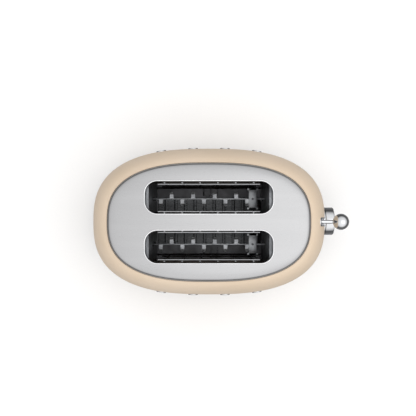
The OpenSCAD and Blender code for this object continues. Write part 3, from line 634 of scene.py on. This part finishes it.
def circuit_board():
    """Tracks about 2 mm apart that stand a little out of the green lacquer."""
    made, tree, place = blank("glass_epoxy_board_masked", {"IOR": 1.55, "Coat Weight": 0.5,
                                                           "Coat Roughness": 0.1})
    tracks = add(tree, "ShaderNodeTexBrick", {"Vector": place, "Scale": per(8.0), "Mortar Size": 0.08,
                                              "Brick Width": 1.6, "Row Height": 0.25})
    copper = tracks.outputs["Fac"]
    grain = add(tree, "ShaderNodeTexNoise", {"Vector": place, "Scale": per(0.8)}).outputs["Fac"]
    return dress(made, copper, "1F5A35", "2F7A48", grain, (0.3, 0.46), copper, 0.04)


MATERIALS = {}


def material(slot):
    """The finish of a slot; the first call makes them all."""
    if not MATERIALS:
        MATERIALS.update(make_materials())
    return MATERIALS[slot]


# ---------------- body


def leaning(lean):
    """Height at which the shell's shoulder has leaned inwards by an angle."""
    s = shape()
    return s.waist_z + (RIM_Z - s.waist_z) * math.sin(lean) ** (2 / s.shoulder_power)


def shell_rings():
    """The shell's section as ovals: up the outside, over the rim and down the inside."""
    s = shape()
    low = SHELL_LOW.z
    levels = [(low + (s.waist_z - low) * i / TUCK_STEPS, 0.0) for i in range(1, TUCK_STEPS)]
    for i in range(SHOULDER_STEPS + 1):
        lean = RIM_LEAN * i / SHOULDER_STEPS
        levels.append((leaning(lean), lean))
    outer = [(half_length(z), half_width(z), z) for z, lean in levels]
    inner = []
    for z, lean in reversed(levels):
        inset = s.wall * math.cos(lean)
        inner.append((half_length(z) - inset, half_width(z) - inset, z - s.wall * math.sin(lean)))
    a, b = half_length(low), half_width(low)
    foot = [(a - s.wall, b - s.wall, low)]
    foot += [(a - 0.5 * MM + out * MM, b - 0.5 * MM + out * MM, low + up * MM)
             for out, up in ((0.0, 0.0), (0.3, 0.12), (0.5, 0.4))]
    a, b, z = outer[-1]
    rim = [(a - 0.3 * MM, b - 0.3 * MM, z - 0.06 * MM), (a - 0.5 * MM, b - 0.5 * MM, z - 0.25 * MM),
           (a - 0.58 * MM, b - 0.58 * MM, z - 0.6 * MM)]
    return foot + outer + rim + inner


def slot_prism(width, radius_ends, start_x, end_x, low_z, top_z):
    """An upright prism along X, with round ends, for the lever's slot."""
    piece = block((start_x, -width / 2, low_z), (end_x, width / 2, top_z))
    if radius_ends:
        bevelled(piece, lambda e: is_along(piece, e, 0), width * ROUND_END, 8)
    return piece


def is_along(piece, edge, axis, longer_than=0.0):
    """Whether an edge runs along an axis and is longer than a length."""
    start, end = (piece.data.vertices[i].co for i in edge.vertices)
    way = end - start
    return abs(way[axis]) > way.length * NEARLY and way.length > longer_than


def divided(piece, axis, longer_than, cuts):
    """Divides a piece's long edges along an axis."""
    choose(piece, "EDGE", lambda e: is_along(piece, e, axis, longer_than))
    bpy.ops.mesh.subdivide(number_cuts=cuts)
    leave_edit()


class TOASTER_OT_shell(bpy.types.Operator):
    """Presses the enamelled shell, with its openings and the groove round the plate"""
    bl_idname = "toaster.shell"
    bl_label = "Shell"

    def execute(self, context):
        shell = oval_stack(shell_rings(), closed=True)
        end_x, far_x = SHELL_HIGH.x - 40 * MM, SHELL_HIGH.x + 10 * MM
        low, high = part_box("lever_escutcheon")
        inset = 1.0 * MM
        width = high.y - low.y - 2 * inset
        cutters = [slot_prism(width, True, end_x, far_x, low.z + inset, high.z - inset)]
        for node, gap in [("dial_bezel", 0.3 * MM)] + [(node, BEZEL_RIM) for node in BUTTONS]:
            low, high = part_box(node)
            middle = (low + high) / 2
            radius = (high.y - low.y) / 2 + gap
            cutters.append(rod(radius, (end_x, middle.y, middle.z), (far_x, middle.y, middle.z), 64))
        low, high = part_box("tray_handle")
        gap = 0.7 * MM
        mouth = block((SHELL_LOW.x - 10 * MM, low.y - gap, low.z - gap),
                      (SHELL_LOW.x + 40 * MM, high.y + gap, high.z + gap))
        cut(shell, cutters + [mouth])
        finished(shell, "shell", "housing", "cream_enamel", ("body_shell",), angle=38)
        return {"FINISHED"}


def plate_rings():
    """The plate's section as ovals: under the crown, round the bead and over the crown."""
    s = shape()
    thin = s.wall
    turns = [math.radians(CROWN_SWEEP) * i / CROWN_STEPS for i in range(CROWN_STEPS + 1)]
    shares = [math.cos(turn) ** (2 / s.crown_power) for turn in turns] + [0.25, 0.14, 0.03]
    a, b = PLATE_A - s.bead, PLATE_B - s.bead
    top = [(a * share, b * share, crown_at(share)) for share in shares]
    under = [((a - thin) * share, (b - thin) * share, crown_at(share) - thin)
             for share in reversed(shares[1:])]
    low = RIM_Z - 1.2 * MM
    edge = [(PLATE_A - thin - s.bead, PLATE_B - thin - s.bead, low)]
    for inset, up in ((0.25, 0.0), (0.0, 0.25), (0.0, 1.7), (0.12, 2.0), (0.4, 2.3), (0.7, 2.4)):
        edge.append((PLATE_A - inset * MM, PLATE_B - inset * MM, low + up * MM))
    return under + edge + top


def slot_cutter(y):
    """A prism with the plan of a bread slot, through the whole plate."""
    s = shape()
    piece = block((MIDDLE_X - s.slot_length / 2, y - s.slot_width / 2, RIM_Z - 10 * MM),
                  (MIDDLE_X + s.slot_length / 2, y + s.slot_width / 2, PLATE_HIGH.z + 10 * MM))
    return bevelled(piece, lambda e: is_along(piece, e, 2), s.slot_radius, 20)


class TOASTER_OT_top_plate(bpy.types.Operator):
    """Presses the brushed plate, crowned inside its bead, with two bread slots"""
    bl_idname = "toaster.top_plate"
    bl_label = "Top plate"

    def execute(self, context):
        s = shape()
        plate = oval_stack(plate_rings(), caps=(True, True))
        cut(plate, [slot_cutter(s.slot_pitch / 2), slot_cutter(-s.slot_pitch / 2)])
        finished(plate, "plate", "housing", "brushed_stainless", ("top_plate",), angle=32)
        return {"FINISHED"}


def stretched_ring(radius, section, half_x, half_y, middle):
    """A ring of round section stretched into a rounded rectangle about a middle."""
    steps = 96
    piece = primitive("torus", major_radius=radius, minor_radius=section, major_segments=steps,
                      minor_segments=16, rotation=(0, 0, math.pi / steps))
    settled(piece)
    for axis, half in ((0, half_x), (1, half_y)):
        for side in (-1, 1):
            move = [0, 0, 0]
            move[axis] = side * (half - radius)
            pulled(piece, lambda v: v.co[axis] * side > 0, move)
    piece.matrix_world = Matrix.Translation(middle)
    return settled(piece)


class TOASTER_OT_slot_lips(bpy.types.Operator):
    """Rolls the buffed lip round each bread slot, down over the plate's crown, in a brighter tone that paints
    its highlight
    """
    bl_idname = "toaster.slot_lips"
    bl_label = "Slot lips"

    def execute(self, context):
        s = shape()
        for name, side in (("left", 1), ("right", -1)):
            y = side * s.slot_pitch / 2
            out = s.lip_radius
            lip = stretched_ring(s.slot_radius + out, s.lip_radius, s.slot_length / 2 + out,
                                 s.slot_width / 2 + out, (MIDDLE_X, y, 0))
            pulled(lip, lambda v: v.co.z < -s.lip_radius / 4, (0, 0, -LIP_DROP))
            divided(lip, 0, s.slot_length / 2, 24)
            divided(lip, 1, s.slot_width / 6, 6)
            for v in lip.data.vertices:
                v.co.z += crown_z(v.co.x, v.co.y) + LIP_PROUD - s.lip_radius
            # The lip's bright tone is a painted highlight over the buffed steel
            finished(lip, f"slot_lip_{name}", "housing", "buffed_edge_and_highlight", angle=60)
        return {"FINISHED"}


class TOASTER_OT_base_ring(bpy.types.Operator):
    """Rolls the chrome ring under the shell, with its edges rounded"""
    bl_idname = "toaster.base_ring"
    bl_label = "Base ring"

    def execute(self, context):
        a, b = (RING_HIGH.x - RING_LOW.x) / 2, (RING_HIGH.y - RING_LOW.y) / 2
        low, high = RING_LOW.z, SHELL_LOW.z
        outside = [(3.8, low), (0.9, low), (0.35, low + 0.25 * MM), (0.05, low + 0.8 * MM),
                   (0.0, low + 1.6 * MM), (0.0, high - 1.8 * MM), (0.1, high - 1.0 * MM),
                   (0.5, high - 0.4 * MM), (1.2, high - 0.1 * MM), (3.8, high - 0.1 * MM)]
        ring = oval_stack([(a - inset * MM, b - inset * MM, z) for inset, z in outside], closed=True)
        low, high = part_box("cord_gland")
        middle = (low + high) / 2
        hole = rod(GLAND_HOLE / 2, (RING_LOW.x - 10 * MM, middle.y, middle.z),
                   (RING_LOW.x + 20 * MM, middle.y, middle.z), 48)
        cut(ring, [hole])
        finished(ring, "chrome_ring", "housing", "chrome", ("base_ring",), angle=50)
        return {"FINISHED"}


class TOASTER_OT_feet(bpy.types.Operator):
    """Moulds the four rubber feet, dished underneath"""
    bl_idname = "toaster.feet"
    bl_label = "Feet"

    def execute(self, context):
        s = shape()
        low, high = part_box("feet")
        foot_h = RING_LOW.z - low.z
        radius = s.foot_diameter / 2
        foot = settled(primitive("cylinder", vertices=64, radius=radius, depth=foot_h,
                                 location=(0, 0, foot_h / 2)))
        bevelled(foot, end_of(foot, 2, -1), 1.2 * MM, 4)
        dished(foot, 2, -1, 3.0 * MM, 1.0 * MM, 0.3 * MM)
        places = [(x, y) for x in (low.x + radius, high.x - radius)
                  for y in (low.y + radius, high.y - radius)]
        feet = joined([copied(foot, Matrix.Translation((x, y, low.z))) for x, y in places])
        bpy.data.objects.remove(foot)
        finished(feet, "rubber_feet", "housing", "foot_rubber", ("feet",), angle=40)
        return {"FINISHED"}


class TOASTER_OT_studs(bpy.types.Operator):
    """Turns the round chrome studs and sets them along both sides of the shell"""
    bl_idname = "toaster.studs"
    bl_label = "Studs"

    def execute(self, context):
        s = shape()
        low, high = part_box("trim_studs")
        z = (low.z + high.z) / 2
        a, b = half_length(z), half_width(z)
        step = 1 * MM
        lean = math.atan2(half_width(z - step) - half_width(z + step), 2 * step)
        stud = settled(primitive("cylinder", vertices=64, radius=s.stud_diameter / 2, depth=STUD_OUT,
                                 location=(0, 0, STUD_OUT / 2)))
        bevelled(stud, end_of(stud, 2, 1), 0.7 * MM, 4)
        dished(stud, 2, 1, 1.5 * MM, 0.4 * MM, 0.12 * MM)
        studs = []
        for side in (1, -1):
            for i in range(4):
                x = (i - 1.5) * s.stud_pitch
                spot = Vector((MIDDLE_X + x, side * outline_y(x, a, b), z))
                turn = outline_turn(x, a, b)
                way = Vector((math.sin(turn) * math.cos(lean), side * math.cos(turn) * math.cos(lean),
                              math.sin(lean)))
                upright = way.to_track_quat("Z", "Y").to_matrix().to_4x4()
                studs.append(copied(stud, Matrix.Translation(spot - way * SUNK) @ upright))
        bpy.data.objects.remove(stud)
        finished(joined(studs), "chrome_studs", "housing", "chrome", ("trim_studs",), angle=40)
        return {"FINISHED"}


class TOASTER_OT_escutcheon(bpy.types.Operator):
    """Forms the chrome surround of the lever's slot to the curve of the shell"""
    bl_idname = "toaster.escutcheon"
    bl_label = "Lever surround"

    def execute(self, context):
        s = shape()
        low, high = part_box("lever_escutcheon")
        half_y, half_z = (high.y - low.y) / 2, (high.z - low.z) / 2
        section = (half_y - s.lever_slot / 2) / 2
        middle_radius = half_y - section
        ring = stretched_ring(middle_radius, section, half_z - section, middle_radius, (0, 0, 0))
        divided(ring, 0, half_z / 2, 32)
        pulled(ring, lambda v: v.co.z < 0, (0, 0, -ESCUTCHEON_DEPTH))
        middle_z = (low.z + high.z) / 2
        for v in ring.data.vertices:
            along, across, out = v.co
            z = middle_z + along
            proud = out * ESCUTCHEON_OUT / section if out > 0 else out
            v.co = (MIDDLE_X + half_length(z) + proud, across, z)
        finished(ring, "lever_surround", "housing", "chrome", ("lever_escutcheon",), angle=50)
        return {"FINISHED"}


class TOASTER_OT_lever(bpy.types.Operator):
    """Turns the lever's rod and its ball, and cuts the riser that carries them"""
    bl_idname = "toaster.lever"
    bl_label = "Lever"

    def execute(self, context):
        s = shape()
        low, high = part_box("lever_arm")
        radius = (KNOB_HIGH.z - KNOB_LOW.z) / 2
        middle = Vector((KNOB_HIGH.x - radius, 0, LEVER_Z))
        riser_w = 9 * MM
        riser_t = 3 * MM
        riser = block((low.x, -riser_t / 2, low.z), (low.x + riser_w, riser_t / 2, high.z), 0.5 * MM)
        neck_x = middle.x - radius
        rod_radius = s.rod_diameter / 2
        bar = turned(rod_radius, (low.x + riser_w - 3 * MM, 0, LEVER_Z),
                     (neck_x - 0.6 * MM, 0, LEVER_Z), 0.5 * MM)
        neck = turned(rod_radius - 0.6 * MM, (neck_x - 2 * MM, 0, LEVER_Z),
                      (middle.x, 0, LEVER_Z), 0.3 * MM)
        finished(joined([riser, bar, neck]), "lever", "carriage", "chrome", ("lever_arm",), angle=40)
        ball = primitive("uv_sphere", segments=96, ring_count=48, radius=radius,
                         location=(middle.x, 0, LEVER_Z), rotation=(0, math.pi / 2, 0))
        settled(ball)
        flat_x = middle.x - radius * 0.955
        choose(ball, "FACE", lambda f: f.center.x < flat_x)
        bpy.ops.mesh.extrude_region_move(TRANSFORM_OT_translate={"value": (0, 0, 0)})
        bpy.ops.transform.resize(value=(0, 1, 1), center_override=(flat_x, 0, LEVER_Z))
        bpy.ops.transform.resize(value=(1, 0.86, 0.86), center_override=(flat_x, 0, LEVER_Z))
        bpy.ops.mesh.extrude_region_move(TRANSFORM_OT_translate={"value": (-0.5 * MM, 0, 0)})
        bpy.ops.transform.resize(value=(1, 0.9, 0.9), center_override=(flat_x, 0, LEVER_Z))
        leave_edit()
        finished(ball, "lever_ball", "carriage", "chrome", ("lever_knob",), angle=40)
        return {"FINISHED"}


class TOASTER_OT_dial(bpy.types.Operator):
    """Turns the browning dial and the drum behind it, and prints the dial's scale"""
    bl_idname = "toaster.dial"
    bl_label = "Browning dial"

    def execute(self, context):
        low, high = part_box("dial_bezel")
        drum = turned((high.y - low.y) / 2, (low.x, 0, DIAL_Z), (high.x, 0, DIAL_Z), 0.9 * MM, 128)
        finished(drum, "dial_drum", "housing", "chrome", ("dial_bezel",), angle=40)
        radius = (DIAL_HIGH.y - DIAL_LOW.y) / 2
        back_x = high.x + 0.5 * MM
        face_x = DIAL_HIGH.x
        dial = turned(radius, (back_x, 0, DIAL_Z), (face_x, 0, DIAL_Z), 1.4 * MM, 128)
        bevelled(dial, end_of(dial, 0, -1), 0.4 * MM, 2)
        dished(dial, 0, 1, 2.2 * MM, 0.8 * MM, 0.3 * MM)
        hub = rod(5 * MM, (low.x, 0, DIAL_Z), (back_x + 1 * MM, 0, DIAL_Z))
        floor_x = face_x - 0.8 * MM
        pointer = block((floor_x - 0.2 * MM, -0.8 * MM, DIAL_Z + radius * 0.42),
                        (floor_x + 0.5 * MM, 0.8 * MM, DIAL_Z + radius * 0.78), 0.25 * MM)
        finished(joined([dial, hub, pointer]), "dial", "dial", "chrome", ("browning_dial",), angle=40)
        ticks = []
        for i in range(9):
            turn = math.radians(30 + 300 * i / 8)
            length = (0.9 + 0.14 * i) * MM
            tick = block((floor_x - 0.15 * MM, -0.3 * MM, 0), (floor_x + 0.03 * MM, 0.3 * MM, length))
            settled(tick)
            place = Matrix.Translation((0, 0, DIAL_Z)) @ Matrix.Rotation(turn, 4, "X")
            ticks.append(copied(tick, place @ Matrix.Translation((0, 0, radius * 0.80 - length))))
            bpy.data.objects.remove(tick)
        finished(joined(ticks), "dial_scale", "dial", "black_paint")
        return {"FINISHED"}


class TOASTER_OT_buttons(bpy.types.Operator):
    """Turns the four buttons, dished for a fingertip, and their surrounds"""
    bl_idname = "toaster.buttons"
    bl_label = "Buttons"

    def execute(self, context):
        surrounds = []
        face_out = 1.0 * MM
        for node in BUTTONS:
            low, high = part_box(node)
            middle = (low + high) / 2
            radius = (high.y - low.y) / 2
            face = high.x - face_out
            surround = turned(radius + BEZEL_RIM - 0.3 * MM, (face - 8 * MM, middle.y, middle.z),
                              (face, middle.y, middle.z), 0.6 * MM)
            bore = rod(radius + 0.35 * MM, (face - 12 * MM, middle.y, middle.z),
                       (face + 4 * MM, middle.y, middle.z), 64)
            cut(surround, [bore])
            surrounds.append(surround)
            cap = turned(radius, (high.x - 5 * MM, middle.y, middle.z),
                         (high.x, middle.y, middle.z), 0.8 * MM)
            dished(cap, 0, 1, 1.0 * MM, 0.35 * MM, 0.15 * MM)
            stem = rod(2 * MM, (low.x, middle.y, middle.z), (high.x - 4 * MM, middle.y, middle.z), 32)
            finished(joined([cap, stem]), f"{node}_cap", node, "chrome", (node,), angle=40)
        finished(joined(surrounds), "button_surrounds", "housing", "chrome", ("button_bezels",), angle=40)
        return {"FINISHED"}


# ---------------- inside the slots


def bent_tab():
    """One tab of a bread rail: flared where it leaves the rail, with its rounded tip bent down."""
    reach, width, thick = 9.6 * MM, 5 * MM, 1.2 * MM
    tab = block((-width / 2, 0, -thick), (width / 2, reach, 0))
    bevelled(tab, lambda e: is_along(tab, e, 2) and tab.data.vertices[e.vertices[0]].co.y > reach / 2,
             width * 0.44, 6)
    for share in (0.18, 0.6, 0.68, 0.76, 0.84, 0.92):
        choose(tab, "FACE", lambda f: True)
        bpy.ops.mesh.bisect(plane_co=(0, reach * share, 0), plane_no=(0, 1, 0))
        leave_edit()
    choose(tab, "VERT", lambda v: v.co.y < FLAT)
    bpy.ops.transform.resize(value=(1.4, 1, 1), center_override=(0, 0, 0))
    leave_edit()
    for share, drop in ((0.64, 0.12), (0.72, 0.25), (0.8, 0.4), (0.88, 0.6), (0.95, 0.9)):
        pulled(tab, lambda v: v.co.y > reach * share - FLAT, (0, 0, -drop * MM))
    return bevelled(tab, lambda e: True, 0.12 * MM, 1)


class TOASTER_OT_bread_carriers(bpy.types.Operator):
    """Stamps the two bread rails with their bent tabs, and the straps across them"""
    bl_idname = "toaster.bread_carriers"
    bl_label = "Bread carriers"

    def execute(self, context):
        tab = bent_tab()
        for name in ("left", "right"):
            low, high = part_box(f"bread_carrier_{name}")
            y = (low.y + high.y) / 2
            thick = 1.6 * MM
            parts = [block((low.x, y - thick / 2, low.z), (high.x, y + thick / 2, high.z), 0.3 * MM)]
            for k in range(9):
                x = MIDDLE_X + (-63 + 14.1 * k) * MM
                turn = Matrix.Rotation(0 if k % 2 else math.pi, 4, "Z")
                parts.append(copied(tab, Matrix.Translation((x, y, high.z)) @ turn))
            finished(joined(parts), f"bread_rail_{name}", "carriage", "rail_steel",
                     (f"bread_carrier_{name}",), angle=35)
            low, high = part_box(f"carrier_strap_{name}")
            middle = (low + high) / 2
            top = low.z + 1.2 * MM
            strap = [block((middle.x - 5 * MM, low.y, low.z), (middle.x + 5 * MM, high.y, top), 0.25 * MM)]
            for edge, side in ((low.y, 1), (high.y, -1)):
                start, end = sorted((edge, edge + side * 3 * MM))
                strap.append(block((low.x, start, low.z), (high.x, end, top), 0.25 * MM))
            finished(joined(strap), f"bread_strap_{name}", "carriage", "rail_steel",
                     (f"carrier_strap_{name}",), angle=35)
            rivet = rod(1.5 * MM, (middle.x, middle.y, low.z + 0.3 * MM), (middle.x, middle.y, high.z), 32)
            settled(rivet)
            bevelled(rivet, end_of(rivet, 2, 1), 0.6 * MM, 3)
            finished(rivet, f"strap_rivet_{name}", "carriage", "dark_steel")
        bpy.data.objects.remove(tab)
        return {"FINISHED"}


class TOASTER_OT_crumb_tray(bpy.types.Operator):
    """Presses the crumb tray with stiffening ribs across it, and its chrome handle"""
    bl_idname = "toaster.crumb_tray"
    bl_label = "Crumb tray"

    def execute(self, context):
        low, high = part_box("crumb_tray")
        sheet = 0.8 * MM
        tray = block(low, high)
        bevelled(tray, lambda e: is_along(tray, e, 2), 3 * MM, 4)
        choose(tray, "FACE", end_of(tray, 2, 1))
        bpy.ops.mesh.inset(thickness=sheet)
        bpy.ops.mesh.extrude_region_move(
            TRANSFORM_OT_translate={"value": (0, 0, low.z + sheet - high.z)})
        leave_edit()
        parts = [tray]
        count = 15
        for i in range(count):
            x = low.x + (high.x - low.x) * (i + 0.5) / count
            floor_z = low.z + sheet
            rib = settled(rod(2.4 * MM, (x, low.y + 7 * MM, floor_z), (x, high.y - 7 * MM, floor_z), 24))
            for v in rib.data.vertices:
                v.co.z = floor_z + (v.co.z - floor_z) * RIB_FLATNESS
            parts.append(rib)
        # The tray's dark grey is painted shade of the slot's depth, not the silver of aluminised steel
        finished(joined(parts), "crumb_tray_pressing", "tray", "tray_steel", ("crumb_tray",), angle=35)
        low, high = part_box("tray_handle")
        wall = 3 * MM
        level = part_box("crumb_tray")[1].z
        a, b = half_length(level) + 0.5 * MM, half_width(level) + 0.5 * MM
        section = [(wall, low.z), (0.6 * MM, low.z), (0.15 * MM, low.z + 0.2 * MM), (0, low.z + 0.7 * MM),
                   (0, high.z - 0.7 * MM), (0.15 * MM, high.z - 0.2 * MM), (0.6 * MM, high.z), (wall, high.z)]
        fascia = oval_stack([(a - inset, b - inset, z) for inset, z in section], closed=True)
        keep = block((low.x - 30 * MM, low.y, low.z - 10 * MM),
                     (MIDDLE_X - 40 * MM, high.y, high.z + 10 * MM))
        modify(fascia, "BOOLEAN", operation="INTERSECT", solver="EXACT", object=keep)
        bpy.data.objects.remove(keep)
        half = 30 * MM
        back_x = MIDDLE_X - a + 2 * MM
        grip = block((SHELL_LOW.x, -half, high.z - 3 * MM), (back_x, half, high.z - 0.5 * MM), 0.8 * MM, 3)
        web = block((back_x, -half, level - 6 * MM),
                    (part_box("crumb_tray")[0].x + sheet, half, level - 4 * MM))
        finished(joined([fascia, grip, web]), "tray_front", "tray", "chrome", ("tray_handle",), angle=35)
        return {"FINISHED"}


class TOASTER_OT_inner_parts(bpy.types.Operator):
    """Gives every piece kept from the frame the finish of its slot"""
    bl_idname = "toaster.inner_parts"
    bl_label = "Finish the inner parts"

    def execute(self, context):
        for part in frame["record"]["subparts"]:
            node = frame["nodes"][part["node"]]
            node.data.materials.clear()
            node.data.materials.append(material(part["material_slot"]))
        return {"FINISHED"}


# ---------------- stage


class TOASTER_OT_stage(bpy.types.Operator):
    """Sets the pale floor, the soft studio light and the camera above the toaster"""
    bl_idname = "toaster.stage"
    bl_label = "Stage"

    def execute(self, context):
        scene = context.scene
        scene.view_settings.view_transform = "Standard"
        floor = primitive("plane", size=8.0)
        floor.name = "floor"
        floor.visible_glossy = False
        made, tree, place = blank("studio_paper", {
            "IOR": 1.4, "Roughness": 0.95, "Specular IOR Level": 0.1,
            "Emission Color": linear("FFFFFF"), "Emission Strength": FLOOR_GLOW})
        grain = add(tree, "ShaderNodeTexNoise", {"Vector": place, "Scale": per(3.0)}).outputs["Fac"]
        paper = add(tree, "ShaderNodeMix", {0: grain, 6: linear("ECECEC"), 7: linear("EFEFEF")},
                    data_type="RGBA")
        tree.links.new(paper.outputs[2], tree.nodes["Principled BSDF"].inputs["Base Color"])
        floor.data.materials.append(made)
        self.light(context)
        camera = bpy.data.objects.new("camera", bpy.data.cameras.new("camera"))
        scene.collection.objects.link(camera)
        camera.location = (MIDDLE_X, CAMERA_Y, CAMERA_HEIGHT)
        camera.data.sensor_width = 36.0
        camera.data.lens = CAMERA_LENS
        camera.data.shift_x = CAMERA_SHIFT[0]
        camera.data.shift_y = CAMERA_SHIFT[1]
        camera.data.clip_start = 0.01
        scene.camera = camera
        return {"FINISHED"}

    def light(self, context):
        """A dome that is bright above, grey at its sides and dark below, and a softbox."""
        world = bpy.data.worlds.new("studio")
        context.scene.world = world
        world.use_nodes = True
        tree = world.node_tree
        sky = tree.nodes["Background"]
        way = add(tree, "ShaderNodeSeparateXYZ", {0: add(tree, "ShaderNodeTexCoord").outputs["Generated"]})
        height = add(tree, "ShaderNodeMapRange", {"Value": way.outputs["Z"], "From Min": -1.0})
        dome = add(tree, "ShaderNodeValToRGB", {"Fac": height.outputs["Result"]})
        steps = dome.color_ramp.elements
        while len(steps) < len(DOME):
            steps.new(0.5)
        for step, (level, tone) in zip(steps, DOME):
            step.position = (level + 1) / 2
            step.color = (tone, tone, tone, 1)
        side = add(tree, "ShaderNodeMapRange", {"Value": way.outputs["X"], "From Min": -1.0,
                                                "To Min": 1 - DOME_LEAN, "To Max": 1 + DOME_LEAN})
        near = add(tree, "ShaderNodeMapRange", {"Value": way.outputs["Y"], "From Min": -1.0,
                                                "To Min": 1 + DOME_NEAR, "To Max": 1 - DOME_NEAR})
        both = add(tree, "ShaderNodeMath", {0: side.outputs["Result"], 1: near.outputs["Result"]},
                   operation="MULTIPLY")
        eye = add(tree, "ShaderNodeLightPath").outputs["Is Camera Ray"]
        seen = add(tree, "ShaderNodeMix", {0: eye, 6: dome.outputs["Color"], 7: linear("FAFAFA")},
                   data_type="RGBA")
        level = add(tree, "ShaderNodeMix", {0: eye, 2: both.outputs[0], 3: 1.0})
        tree.links.new(seen.outputs[2], sky.inputs["Color"])
        tree.links.new(level.outputs[0], sky.inputs["Strength"])
        for name, spot, size, power in SOFTBOXES:
            data = bpy.data.lights.new(name, "AREA")
            data.shape = "RECTANGLE"
            data.size, data.size_y = size
            data.energy = power
            lamp = bpy.data.objects.new(name, data)
            context.scene.collection.objects.link(lamp)
            lamp.location = spot
            lamp.rotation_euler = (Vector(spot) - Vector((0, 0, 0.1))).to_track_quat("Z", "Y").to_euler()


# ---------------- panel and run


class TOASTER_PT_panel(bpy.types.Panel):
    """The toaster's settings and the steps that build it"""
    bl_idname = "TOASTER_PT_panel"
    bl_label = "Pop-up toaster"
    bl_space_type = "VIEW_3D"
    bl_region_type = "UI"
    bl_category = "Toaster"

    def draw(self, context):
        for group in (context.scene.toaster_shape, context.scene.toaster_finish):
            box = self.layout.box()
            for name in group.__annotations__:
                box.prop(group, name)
        for step in STEPS:
            self.layout.operator(step.bl_idname, text=step.bl_label)


STEPS = (TOASTER_OT_inner_parts, TOASTER_OT_shell, TOASTER_OT_top_plate, TOASTER_OT_slot_lips,
         TOASTER_OT_base_ring, TOASTER_OT_feet, TOASTER_OT_studs, TOASTER_OT_escutcheon,
         TOASTER_OT_lever, TOASTER_OT_dial, TOASTER_OT_buttons, TOASTER_OT_bread_carriers,
         TOASTER_OT_crumb_tray, TOASTER_OT_stage)
CLASSES = (ShapeSettings, FinishSettings, *STEPS, TOASTER_PT_panel)


def register():
    """Registers the settings, the steps and the panel."""
    for made in CLASSES:
        bpy.utils.register_class(made)
    bpy.types.Scene.toaster_shape = bpy.props.PointerProperty(type=ShapeSettings)
    bpy.types.Scene.toaster_finish = bpy.props.PointerProperty(type=FinishSettings)


def unregister():
    """Removes what register added."""
    del bpy.types.Scene.toaster_finish
    del bpy.types.Scene.toaster_shape
    for made in reversed(CLASSES):
        bpy.utils.unregister_class(made)


def main():
    """Builds the toaster around the frame."""
    register()
    for step in STEPS:
        group, name = step.bl_idname.split(".")
        getattr(getattr(bpy.ops, group), name)()


if __name__ == "__main__":
    main()
